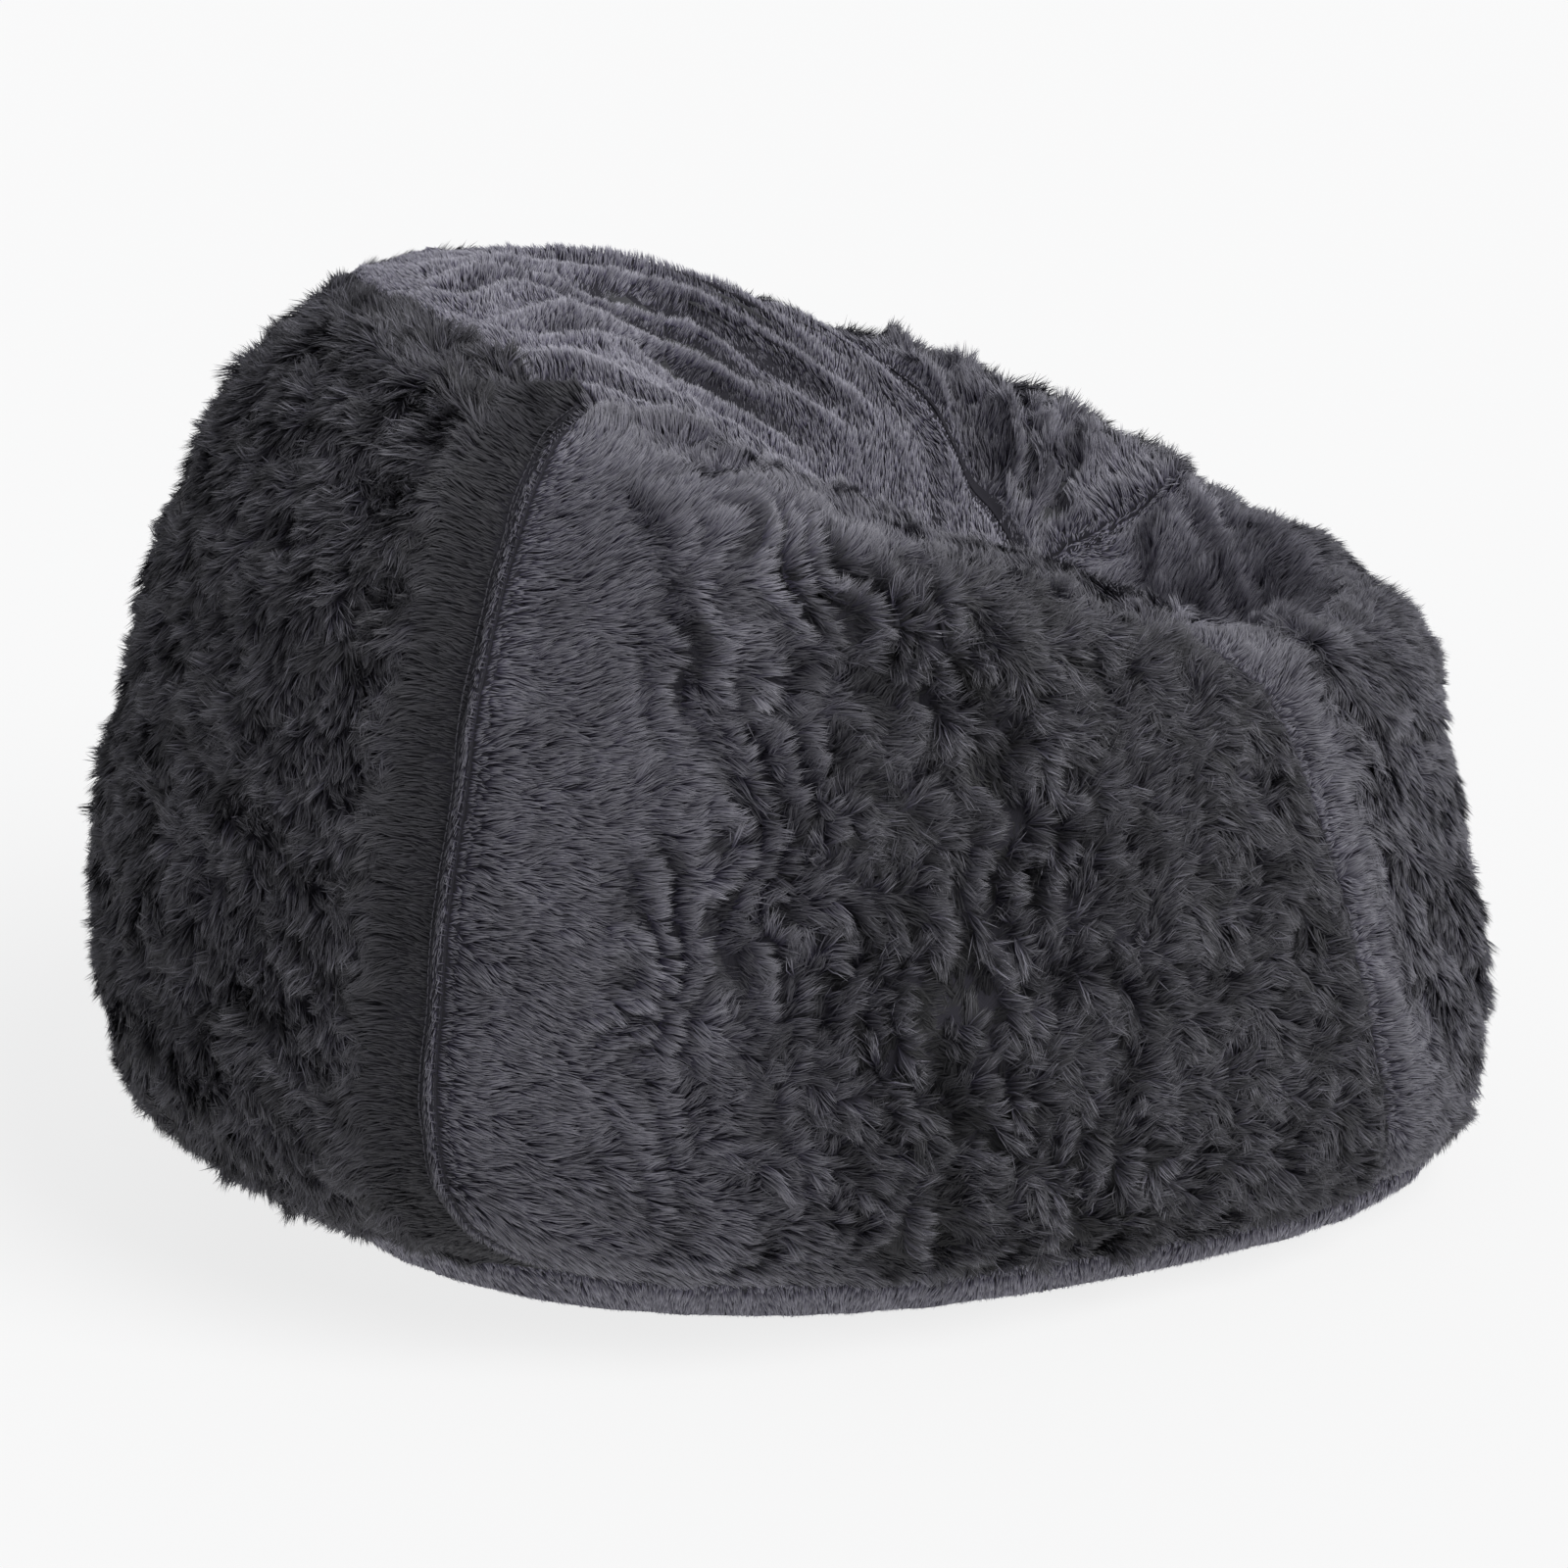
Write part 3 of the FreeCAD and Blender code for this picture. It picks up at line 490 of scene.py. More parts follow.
PILE_LENGTH, BAND_PILE, SEAT_SHARE = 0.0180, 0.0125, 0.52      # the seat's pile as a share of the rest
PILE_LIFT, BAND_LIFT = 21, 16                                   # degrees
BACK_DEPTH, CLUMP, FLOOR_GAP = 0.0075, 0.0050, 0.001
BLADES_PER_M2 = 420000
BLADE_WIDTH = 0.00090
MOST_BLADES = 66000          # of one piece, which keeps it under 200,000 triangles
# painted light: each panel's pile is made lighter by this factor for the light it catches, most on the
# upturned seat and on the band above the pale floor
PANEL_PAINTED_LIGHT = {"right_side": 1.0, "front": 1.0, "left_side": 1.0, "back": 1.02, "seat": 1.92,
              "band_right": 1.75, "band_left": 1.75}
UP, FORWARD, LEFT = np.array([0, 0, 1.0]), np.array([0, -1.0, 0]), np.array([1.0, 0, 0])


def mixed(a, b, w):
    """From a to b by weights of the points."""
    return a + (b - a) * w[..., None]


nearest_seam = np.minimum.reduce([seam_gap[k] for k in SEAMS] + [seam_gap["band"]])
nearest_twin = np.minimum.reduce([thread_gap[k] for k in TWIN_SEAMS])


def combing(name, a, level, spot, normal):
    """Where the pile lies: its direction, how untidy it is, and how strong its rows are."""
    mess, rows = np.full(len(a), 0.45), np.zeros(len(a))
    if name == "right_side":
        rise = ramp(level, 2.35, 3.1)
        way = FORWARD * (1 - 0.8 * rise[:, None]) + UP * (0.06 + 1.2 * rise[:, None])
        from_seam = look_up(seam_gap["back_right"], a, level)
        mess = 0.18 + 0.75 * ramp(from_seam, 0.09, 0.30) * (1 - 0.45 * rise)
        rows = row_strength(from_seam, level) * row_breaks(spot)
        way = way - UP * (0.35 * ramp(from_seam, 0.25, 0.6) * (1 - rise))[:, None]
    elif name == "back":
        from_seam = look_up(seam_gap["back_right"], a, level)
        beside = 1 - ramp(from_seam, 0.03, 0.085)
        away = mixed(-UP + 0 * spot, -FORWARD * 0.6 + LEFT * 0.8 + 0 * spot, beside)
        rise = ramp(level, 2.5, 3.0)
        way = mixed(away, LEFT * 0.9 + UP * 0.5 + 0 * spot, rise * (1 - beside) * 0.8)
        mess = 0.95 - 0.8 * beside
    elif name == "front":
        way = -UP * 0.9 + LEFT * 0.25 + 0 * spot
        from_seam = look_up(seam_gap["front_right"], a, level)
        beside = 1 - ramp(from_seam, 0.03, 0.06)
        way = mixed(way, LEFT * 0.9 + FORWARD * 0.3 + 0 * spot, beside)
        inner = ramp(level, 2.85, 3.1)
        way = mixed(way, UP + FORWARD * 0.7 - LEFT * 0.3 + 0 * spot, inner)
        mess = 0.6 - 0.25 * inner - 0.3 * beside
    elif name == "left_side":
        inner = ramp(level, 2.8, 3.1)
        way = mixed(FORWARD - UP * 0.15 + 0 * spot, UP + 0.25 * LEFT + 0 * spot, inner)
        from_seam = look_up(seam_gap["back_left"], a, level)
        mess = (0.25 + 0.6 * ramp(from_seam, 0.08, 0.3)) * (1 - inner) + 0.34 * inner
        rows = row_strength(from_seam, level) * row_breaks(spot)
    elif name == "seat":
        way = LEFT * 0.9 + UP * 0.45 - FORWARD * 0.05 + 0 * spot
        mess = np.full(len(a), 0.11)
    else:
        way = -UP + 0 * spot
        mess = np.full(len(a), 0.2)
    swirl = 0.30 * waves(spot, 0.11, 5) * (0.4 + mess) + 0.95 * mess * waves(spot, 0.020, 6)
    return turned(square_to(way, normal), normal, swirl), mess, rows


def pile_at(name, s, t):
    """Angle, level, spot and normal on the finished form at panel coordinates."""
    a, level = polar(PANELS[name](s, t))
    spot, normal = look_up(form, a, level), unit(look_up(form_normal, a, level))
    return a, level, spot, normal


def backing_depth(a, level):
    """How far the knitted back lies under the outside of the pile."""
    d = look_up(nearest_seam, a, level)
    return (BACK_DEPTH - 0.0035 * np.exp(-(d / 0.010) ** 2)) * (0.35 + 0.65 * ramp(level, 0.15, 0.40))


def pile_facts(name, a, level, spot, normal):
    """Direction, lift angle, length and untidiness of the pile at some points."""
    way, mess, rows = combing(name, a, level, spot, normal)
    stripe = row_wave(spot)
    blotch = waves(spot, 0.030, 12)
    lift = np.radians(PILE_LIFT + 8 * blotch * (0.3 + mess) + 13 * rows * stripe + 9 * mess)
    length = PILE_LENGTH * (1 + 0.10 * blotch + 0.20 * rows * stripe + 0.12 * (mess - 0.5))
    if name == "seat":
        lift, length = lift - math.radians(1), length * SEAT_SHARE
    if name.startswith("band"):
        lift, length = np.full(len(a), math.radians(BAND_LIFT)), np.full(len(a), BAND_PILE)
    else:
        low = 1 - ramp(look_up(seam_gap["band"], a, level), 0.006, 0.030)
        length = length * (1 - 0.45 * low)
    near = look_up(nearest_seam, a, level)
    twin = look_up(nearest_twin, a, level)
    short = np.maximum(1 - ramp(near, 0.003, 0.014), 1 - ramp(twin, 0.006, 0.012))
    short = short * (1 - 0.75 * ramp(level, 2.78, 2.93) * (1 - ramp(level, 3.1, 3.2)))
    length = length * (1 - 0.66 * short) * (1 - 0.5 * look_up(crease, a, level))
    lift = lift * (1 - 0.30 * short)
    if name == "right_side":
        low = look_up(brim, a, level)
        length, lift = length * (1 - 0.55 * low), lift * (1 - 0.5 * low)
    if name == "back":
        strip = (1 - ramp(look_up(seam_gap["back_right"], a, level), 0.026, 0.042)) * (1 - short)
        length, lift = length * (1 - 0.45 * strip), lift * (1 - 0.35 * strip)
    return way, lift, length, mess, rows


def painted_light_tone(name, a, level, spot, mess, rows):
    """Painted light and shade on the pile: smooth pile painted lighter, tousled pile and folds painted
    darker, per panel and per place.
    """
    # painted shade: tousled pile is painted darker for its shaded depths, and pile in the folds darker for
    # the shade lying in them
    tone = PANEL_PAINTED_LIGHT[name] * (1 - 0.42 * ramp(mess, 0.3, 0.95)) * (1 - 0.55 * look_up(crease, a, level))
    stripe = row_wave(spot)
    # painted light and shade: pile on the rows painted lighter and between them darker, as ridges catch light
    # and furrows lie in shade
    tone = tone * (1 + 0.28 * rows * ramp(stripe, 0.1, 0.9) - 0.58 * rows * ramp(-stripe, -0.1, 0.7))
    # painted shade: dark patches in tousled pile, for the shaded gaps between its clumps
    tone = tone * (1 - 0.50 * ramp(waves(spot, 0.015, 33), 0.25, 0.9) * ramp(mess, 0.3, 0.7))
    from_seam = look_up(seam_gap["back_right"], a, level)
    # painted shade: a strip of the back beside the right back seam is darkened, as the side turned away from
    # the light
    if name == "back":
        tone = tone * (1 - 0.74 * ramp(from_seam, 0.004, 0.012) * (1 - ramp(from_seam, 0.040, 0.085)))
    # painted light and shade: the right arm's pile is painted lighter near its back seam and darker away from
    # it, most below the shoulder
    if name == "right_side":
        tone = tone * (1.28 - 0.30 * ramp(from_seam, 0.10, 0.32) - 0.20 * ramp(from_seam, 0.40, 0.62)
                       * (1 - ramp(level, 2.0, 2.8)))
    # painted light: the inner faces of the left arm and front, at the rim and down into the hollow, are
    # painted lighter
    if name in ("left_side", "front"):
        tone = tone * (1 + 0.60 * ramp(level, 2.85, 3.1))
    return tone


def exact_gap(points, line):
    """Distance of each point to the segments of a line."""
    out = np.full(len(points), 9.0)
    step = np.diff(line, axis=0)
    for first in range(0, len(points), 5000):
        reach = points[first:first + 5000, None] - line[None, :-1]
        t = np.clip((reach * step).sum(-1) / (step ** 2).sum(-1), 0, 1)
        out[first:first + 5000] = np.linalg.norm(reach - t[..., None] * step, axis=-1).min(1)
    return out


def row_beside(points, sideways, flat=False, count=400):
    """A row of needlework beside a seam: its line and normals on the finished form."""
    pts = along_points(to_flat(points) if flat else points, np.linspace(0.012, 0.988, count))
    a, level = polar(pts) if flat else (np.radians(pts[:, 0]), pts[:, 1])
    line, normal = look_up(form, a, level), unit(look_up(form_normal, a, level))
    side = unit(np.cross(normal, np.gradient(line, axis=0)))
    return line + side * sideways, normal


NEEDLE_CLEAR = 0.0012       # no blade is rooted nearer to a row of needlework
# how far the pile closes over the rows of the front seams, where it is combed across them
BURIED_ROWS = {"front_right": 0.004, "front_left": 0.004}
TWIN_ROWS = {name: [row_beside(SEAMS[name], share * NEEDLE_GAUGE)[0] for share in TWIN_SHARES]
             for name in TWIN_SEAMS}


def needlework(spot, a, level):
    """Distance to the nearest row of twin topstitching, and whether a point is between the rows."""
    gap, between = np.full(len(spot), 9.0), np.zeros(len(spot), bool)
    near = np.nonzero(look_up(nearest_twin, a, level) < 0.022)[0]
    for name, (first, second) in TWIN_ROWS.items():
        one, two = exact_gap(spot[near], first), exact_gap(spot[near], second)
        gap[near] = np.minimum(gap[near], np.minimum(one, two) + BURIED_ROWS.get(name, 0))
        between[near] |= one + two < NEEDLE_GAUGE * 1.08
    return gap, between


def spread(name):
    """Panel coordinates of the blades, spread evenly over a panel's real area."""
    rng.random((4000, 2))     # moves the generator on, so that each strand keeps its place
    e, cells, edge = 1e-3, 64, 0.0002
    g = (np.arange(cells) + 0.5) / cells * (1 - 4 * e) + 2 * e
    s, t = (table.ravel() for table in np.meshgrid(g, g, indexing="ij"))
    ds = pile_at(name, s + e, t)[2] - pile_at(name, s - e, t)[2]
    dt = pile_at(name, s, t + e)[2] - pile_at(name, s, t - e)[2]
    areas = np.linalg.norm(np.cross(ds, dt), axis=-1) / (4 * e * e)
    total = int(areas.reshape(cells, cells).mean() * BLADES_PER_M2)
    cell = rng.choice(cells * cells, total, p=areas / areas.reshape(cells, cells).sum())
    s = (cell // cells + rng.random(total)) / cells
    t = (cell % cells + rng.random(total)) / cells
    return s * (1 - 2 * edge) + edge, t * (1 - 2 * edge) + edge


def clump_grid(name):
    """Clump centres of a panel on a jittered grid, with their pile facts."""
    g = np.linspace(0.02, 0.98, 40)
    long = far_along(pile_at(name, g, 0.5 + 0 * g)[2])[-1] / 0.96
    wide = max(far_along(pile_at(name, k + 0 * g, g)[2])[-1] / 0.96 for k in (0.2, 0.5, 0.8))
    ns, nt = max(int(long / CLUMP), 2), max(int(wide / CLUMP), 2)
    jitter = rng.uniform(0.1, 0.9, (ns, nt, 2))
    s = (np.arange(ns)[:, None] + jitter[..., 0]) / ns
    t = (np.arange(nt)[None] + jitter[..., 1]) / nt
    a, level, spot, normal = pile_at(name, s.ravel(), t.ravel())
    way, lift, length, mess, rows = pile_facts(name, a, level, spot, normal)
    way = turned(way, normal, rng.normal(0, 0.42, ns * nt) * mess)
    lift = lift + np.radians(rng.normal(0, 9, ns * nt)) * (0.3 + mess)
    length = length * rng.uniform(0.82, 1.15, ns * nt)
    root = spot - normal * backing_depth(a, level)[:, None]
    tip = root + (way * np.cos(lift)[:, None] + normal * np.sin(lift)[:, None]) * length[:, None]
    return ns, nt, jitter, dict(way=way, lift=lift, length=length, root=root, tip=tip, mess=mess,
                                shade=rng.random(ns * nt), nap=painted_light_tone(name, a, level, spot, mess, rows))


def nearest_clump(ns, nt, jitter, s, t):
    """The number of the clump whose centre is nearest to each point."""
    u, v = s * ns, t * nt
    iu, iv = np.minimum(u.astype(int), ns - 1), np.minimum(v.astype(int), nt - 1)
    best, owner = np.full(len(s), 9.0), np.zeros(len(s), int)
    for du in (-1, 0, 1):
        for dv in (-1, 0, 1):
            i, j = np.clip(iu + du, 0, ns - 1), np.clip(iv + dv, 0, nt - 1)
            d = (i + jitter[i, j, 0] - u) ** 2 + (j + jitter[i, j, 1] - v) ** 2
            closer = d < best
            best = np.where(closer, d, best)
            owner = np.where(closer, i * nt + j, owner)
    return owner


def grow(name):
    """The blades of one panel: five corners each, with normals and shading values."""
    s, t = spread(name)
    ns, nt, jitter, clump = clump_grid(name)
    order = np.argsort(s, kind="stable")
    s, t = s[order], t[order]
    n = len(s)
    a, level, spot, normal = pile_at(name, s, t)
    owner = nearest_clump(ns, nt, jitter, s, t)
    _, lift, length, mess, _ = pile_facts(name, a, level, spot, normal)
    way = square_to(clump["way"][owner], normal)
    way = turned(way, normal, rng.normal(0, 0.20, n) * (0.4 + mess))
    lift = 0.5 * lift + 0.5 * clump["lift"][owner] + np.radians(rng.normal(0, 6, n))
    length = (0.4 * length + 0.6 * clump["length"][owner]) * rng.uniform(0.72, 1.12, n)
    gap, between = needlework(spot, a, level)
    way = mixed(way, square_to(-UP, normal), between * 1.0)
    lift = np.where(between, math.radians(24), lift)
    length = np.minimum(length, 0.0065 + 1.1 * np.maximum(gap - 0.001, 0))
    length = np.where(between, np.minimum(length, 0.0068 + 2 * np.maximum(gap - 0.005, 0)), length)
    lift = np.clip(lift, math.radians(6), math.radians(80))
    side = np.cross(normal, way)
    root = spot - normal * backing_depth(a, level)[:, None]
    root[:, 2] = np.maximum(root[:, 2], 1.2 * FLOOR_GAP)
    tip = root + (way * np.cos(lift)[:, None] + normal * np.sin(lift)[:, None]) * length[:, None]
    pull = (0.42 + 0.22 * mess) * rng.uniform(0.55, 1.1, n)
    gathered = clump["tip"][owner] + (root - clump["root"][owner]) * 0.22
    apart = np.linalg.norm(gathered - tip, axis=1)
    pull = pull * (apart < 0.012) * ~between
    tip = tip + (gathered - tip) * pull[:, None]
    curl = rng.normal(0, 0.07, n) * (0.4 + mess)
    bow = (root + normal * (length * np.sin(lift) * 0.62)[:, None] + way * (length * 0.34)[:, None]
           + side * (curl * length)[:, None])
    middle = root * 0.25 + bow * 0.5 + tip * 0.25
    lowest = (2 if name.startswith("band") else 1.5) * FLOOR_GAP
    tip[:, 2], middle[:, 2] = np.maximum(tip[:, 2], FLOOR_GAP), np.maximum(middle[:, 2], lowest)
    along = unit(tip - root)
    flat = turned(unit(np.cross(along, normal)), along, rng.normal(0, 0.55, n))
    shading = unit(0.30 * np.cross(flat, along) + 0.70 * square_to(normal, along) + 0.15 * normal)
    half = (BLADE_WIDTH * rng.uniform(0.7, 1.3, n) / 2)[:, None] * flat
    corners = np.stack([root - half, root + half, middle - half * 0.85, middle + half * 0.85, tip], 1)
    even, tufty = rng.random(n), 0.5 + 0.28 * clump["shade"][owner]
    tone = 0.70 + 0.34 * clump["shade"][owner] + 0.24 * even
    tone = tone + (tufty + 1.6 * even ** 4 - tone) * ramp(mess, 0.5, 0.95)
    # the painted light and shade of the pile; blades between the twin rows are painted 15% lighter, a painted
    # highlight on the combed ridge
    tone = tone * clump["nap"][owner] * np.where(between, 1.15, 1.0)
    kept = gap > NEEDLE_CLEAR
    return corners[kept], shading[kept], tone[kept]


def blade_mesh(name, corners, shading, tone):
    """Blades as a quad and a tip each, with how far along and how light they are; the lightness holds random
    tone and painted light and shade.
    """
    n = len(corners)
    mesh = bpy.data.meshes.new(name)
    mesh.vertices.add(5 * n)
    mesh.loops.add(7 * n)
    mesh.polygons.add(2 * n)
    mesh.vertices.foreach_set("co", corners.astype(np.float32).ravel())
    first = np.arange(n)[:, None] * 5
    pattern = np.array([0, 1, 3, 2, 2, 3, 4])
    mesh.loops.foreach_set("vertex_index", (first + pattern).astype(np.int32).ravel())
    mesh.polygons.foreach_set("loop_start", (np.arange(n)[:, None] * 7 + [0, 4]).astype(np.int32).ravel())
    mesh.update(calc_edges=True)
    mesh.shade_smooth()
    along = mesh.attributes.new("along", "FLOAT", "POINT")
    along.data.foreach_set("value", np.tile([0.0, 0.0, 0.5, 0.5, 1.0], n).astype(np.float32))
    # tone: random tone per blade times the painted light and shade of the pile
    tones = mesh.attributes.new("tone", "FLOAT", "POINT")
    tones.data.foreach_set("value", np.repeat(tone, 5).astype(np.float32))
    across = math.ceil(math.sqrt(n))
    cell = np.stack([np.arange(n) % across, np.arange(n) // across], 1)[:, None] / across
    spots = np.array([(0.2, 0.1), (0.8, 0.1), (0.75, 0.5), (0.25, 0.5), (0.25, 0.5), (0.75, 0.5), (0.5, 0.9)])
    uv = mesh.uv_layers.new(name="OFBake")
    uv.data.foreach_set("uv", (cell + spots / across).astype(np.float32).ravel())
    mesh.normals_split_custom_set_from_vertices(np.repeat(shading, 5, axis=0).astype(np.float32))
    return mesh


def add_object(name, mesh, material):
    """A piece of the chair, with its material and slot."""
    ob = linked(name, mesh)
    ob.data.materials.append(material)
    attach(ob, "chair")
    return ob


# ---- materials

def new_material(name, color, roughness, **sockets):
    """A material with its shader's own sockets set."""
    material = bpy.data.materials.new(name)
    material.use_nodes = True
    shader = material.node_tree.nodes["Principled BSDF"]
    shader.inputs["Base Color"].default_value = (*color, 1)
    shader.inputs["Roughness"].default_value = roughness
    for key, value in sockets.items():
        shader.inputs[key.replace("_", " ")].default_value = value
    return material, material.node_tree, shader


def link(tree, a, b):
    tree.links.new(a, b)


def add_node(tree, kind, **values):
    """A node with its inputs set by name, and its settings too."""
    node = tree.nodes.new(kind)
    for key, value in values.items():
        if key in node.inputs:
            node.inputs[key].default_value = value
        else:
            setattr(node, key, value)
    return node


def ramp_node(tree, stops):
    node = tree.nodes.new("ShaderNodeValToRGB")
    elements = node.color_ramp.elements
    while len(elements) < len(stops):
        elements.new(0.5)
    for element, (position, color) in zip(elements, stops):
        element.position, element.color = position, (*color, 1)
    return node


def fur_material():
    """Dark at the root and lighter to the tip, scaled by each blade's tone, which carries painted light and
    shade.
    """
    material, tree, shader = new_material("fur_pile", (0.1, 0.1, 0.11), 0.62)
    shader.inputs["Specular IOR Level"].default_value = 0.35
    along = add_node(tree, "ShaderNodeAttribute", attribute_name="along")
    tone = add_node(tree, "ShaderNodeAttribute", attribute_name="tone")
    # the near-black navy at the root is partly the fur's own colour and partly painted shade of the pile's
    # depths
    colors = ramp_node(tree, [(0.0, (0.010, 0.008, 0.021)), (0.40, (0.052, 0.049, 0.067)),
                              (0.72, (0.120, 0.117, 0.138)), (1.0, (0.210, 0.207, 0.230))])
    link(tree, along.outputs["Fac"], colors.inputs["Fac"])
    scale = add_node(tree, "ShaderNodeVectorMath", operation="SCALE")
    link(tree, colors.outputs["Color"], scale.inputs[0])
    link(tree, tone.outputs["Fac"], scale.inputs["Scale"])
    link(tree, scale.outputs["Vector"], shader.inputs["Base Color"])
    return material


def color_by(tree, value, low, high, color):
    """The base colour between two (position, strength) stops of one colour."""
    colors = ramp_node(tree, [(position, tuple(min(c * strength, 1) for c in color))
                              for position, strength in (low, high)])
    link(tree, value, colors.inputs["Fac"])
    link(tree, colors.outputs["Color"], tree.nodes["Principled BSDF"].inputs["Base Color"])


def bump_by(tree, height, strength, distance):
    bump = add_node(tree, "ShaderNodeBump", Strength=strength, Distance=distance)
    link(tree, height, bump.inputs["Height"])
    link(tree, bump.outputs["Normal"], tree.nodes["Principled BSDF"].inputs["Normal"])


def cloth_material(name, color, weave, contrast, roughness=0.9):
    """A woven cloth: two crossed thread waves in object space, with slubs."""
    material, tree, _ = new_material(name, color, roughness)
    coords = add_node(tree, "ShaderNodeTexCoord").outputs["Object"]
    over = add_node(tree, "ShaderNodeMath", operation="MULTIPLY")
    for k, direction in enumerate(("X", "Y")):
        threads = add_node(tree, "ShaderNodeTexWave", bands_direction=direction,
                           Scale=weave, Distortion=0.6, Detail=1.0)
        link(tree, coords, threads.inputs["Vector"])
        link(tree, threads.outputs["Fac"], over.inputs[k])
    noise = add_node(tree, "ShaderNodeTexNoise", Scale=38.0, Detail=5.0)
    link(tree, coords, noise.inputs["Vector"])
    both = add_node(tree, "ShaderNodeMath", operation="MULTIPLY_ADD")
    link(tree, noise.outputs["Fac"], both.inputs[0])
    both.inputs[1].default_value = 0.6
    link(tree, over.outputs["Value"], both.inputs[2])
    color_by(tree, both.outputs["Value"], (0.15, 1 - contrast), (1.1 / 1.3, 1 + contrast), color)
    bump_by(tree, over.outputs["Value"], 0.3, 0.0004)
    return material


def grained_material(name, color, roughness, scale, metallic=0.0):
    """Moulded plastic or painted metal: fine grain and slight wear."""
    material, tree, shader = new_material(name, color, roughness, Metallic=metallic)
    coords = add_node(tree, "ShaderNodeTexCoord").outputs["Object"]
    noise = add_node(tree, "ShaderNodeTexNoise", Scale=scale, Detail=6.0)
    link(tree, coords, noise.inputs["Vector"])
    color_by(tree, noise.outputs["Fac"], (0.35, 0.75), (0.75, 1.35), color)
    rough = add_node(tree, "ShaderNodeMapRange", **{"To Min": roughness - 0.08, "To Max": roughness + 0.12})
    link(tree, noise.outputs["Fac"], rough.inputs["Value"])
    link(tree, rough.outputs["Result"], shader.inputs["Roughness"])
    bump_by(tree, noise.outputs["Fac"], 0.15, 0.0002)
    return material


FUR = fur_material()
# the knitted back's near-black is partly its own colour and partly painted shade, so that gaps in the pile
# read dark
BACKING = cloth_material("knit_backing", (0.010, 0.009, 0.015), 420, contrast=0.4)
BASE_CLOTH = cloth_material("base_cloth", (0.030, 0.030, 0.034), 260, contrast=0.45)
LINER = cloth_material("liner_cloth", (0.040, 0.040, 0.045), 300, contrast=0.25)
TAPE = cloth_material("zip_tape", (0.026, 0.026, 0.030), 500, contrast=0.4)
LABEL = cloth_material("label_cloth", (0.70, 0.69, 0.66), 600, contrast=0.08, roughness=0.6)
COIL = grained_material("coil_nylon", (0.022, 0.022, 0.026), 0.38, 900)
METAL = grained_material("painted_metal", (0.045, 0.045, 0.050), 0.35, 700, metallic=0.6)
BEADS = grained_material("foam_beads", (0.82, 0.82, 0.80), 0.8, 220)
THREAD = cloth_material("thread", (0.030, 0.029, 0.038), 900, contrast=0.5, roughness=0.55)

NODE_MATERIALS = [("liner_zip_slider", METAL), ("zip_slider", METAL), ("zip_pull", METAL), ("stop", METAL),
                  ("tape", TAPE), ("coil", COIL), ("zip_topstitch", THREAD), ("topstitch", THREAD),
                  ("base_panel", BASE_CLOTH), ("liner", LINER), ("bead", BEADS), ("label", LABEL),
                  ("panel", BACKING), ("band", BACKING)]
for name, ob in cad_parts.items():
    material = next(m for part, m in NODE_MATERIALS if part in name)
    ob.data.materials.clear()
    ob.data.materials.append(material)


# ---- the cover's pieces

def sheet_mesh(label, name, depth, across=121):
    """One panel's shape, depth under the outside of the pile, as an open sheet."""
    g = np.linspace(0, 1, across)
    s, t = np.meshgrid(g, g, indexing="ij")
    a, level, spot, normal = pile_at(name, s.ravel(), t.ravel())
    top = spot - normal * (backing_depth(a, level) + depth)[:, None]
    top[:, 2] = np.maximum(top[:, 2], 0.0006 + depth)
    faces = grid_faces(np.arange(across * across).reshape(across, across))
    corner, right, _, up = faces[len(faces) // 2]
    side = np.cross(top[right] - top[corner], top[up] - top[corner])
    if (side * normal[corner]).sum() < 0:
        faces = faces[:, ::-1]
    return smooth_mesh(label, top, faces.tolist())


def smooth_mesh(label, points, faces):
    mesh = new_mesh(label, points, faces)
    mesh.shade_smooth()
    return mesh


def add_sheet(label, mesh, material, thickness):
    """An open sheet as cloth of some thickness, under the sheet."""
    piece = add_object(label, mesh, material)
    solid = piece.modifiers.new("thickness", "SOLIDIFY")
    solid.thickness, solid.offset = thickness, -1.0
    return piece


def tube_mesh(label, lines, radius, sides=6):
    """Round threads along lines of points, one closed tube each."""
    points, faces = [], []
    turn = np.arange(sides) * 2 * np.pi / sides
    for line in lines:
        way = unit(np.gradient(line, axis=0))
        side = unit(np.cross(way, [0.31, 0.22, 0.93]))
        up = np.cross(side, way)
        around = np.cos(turn)[:, None] * side[:, None] + np.sin(turn)[:, None] * up[:, None]
        ring_points = (line[:, None] + radius * around).reshape(-1, 3)
        index = len(points) + np.arange(len(ring_points)).reshape(-1, sides)
        closed = np.hstack([index, index[:, :1]])
        faces += grid_faces(closed.T).tolist() + [tuple(index[0, ::-1].tolist()), tuple(index[-1].tolist())]
        points += ring_points.tolist()
    return smooth_mesh(label, points, faces)


STITCH, STITCH_GAP, STITCH_RISE, THREAD_RADIUS = 0.0065, 0.0005, 0.0009, 0.00042


def stitches(line, normal, depth):
    """Lockstitches along a line: each dips into the cloth at its ends."""
    far = far_along(line)
    threads = []
    for start in np.arange(0, far[-1] - STITCH, STITCH):
        at = np.linspace(start + STITCH_GAP, start + STITCH - STITCH_GAP, 7)
        spot = np.stack([np.interp(at, far, line[:, k]) for k in range(3)], 1)
        out = unit(np.stack([np.interp(at, far, normal[:, k]) for k in range(3)], 1))
        rise = STITCH_RISE * np.sin(np.linspace(0, np.pi, 7))
        threads.append(spot + out * (rise - depth)[:, None])
    return threads


def add_threads(name, threads, node):
    """Stitches as one piece, in place of a node's threads."""
    piece = add_object(name, tube_mesh(name, threads, THREAD_RADIUS), THREAD)
    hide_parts(node)


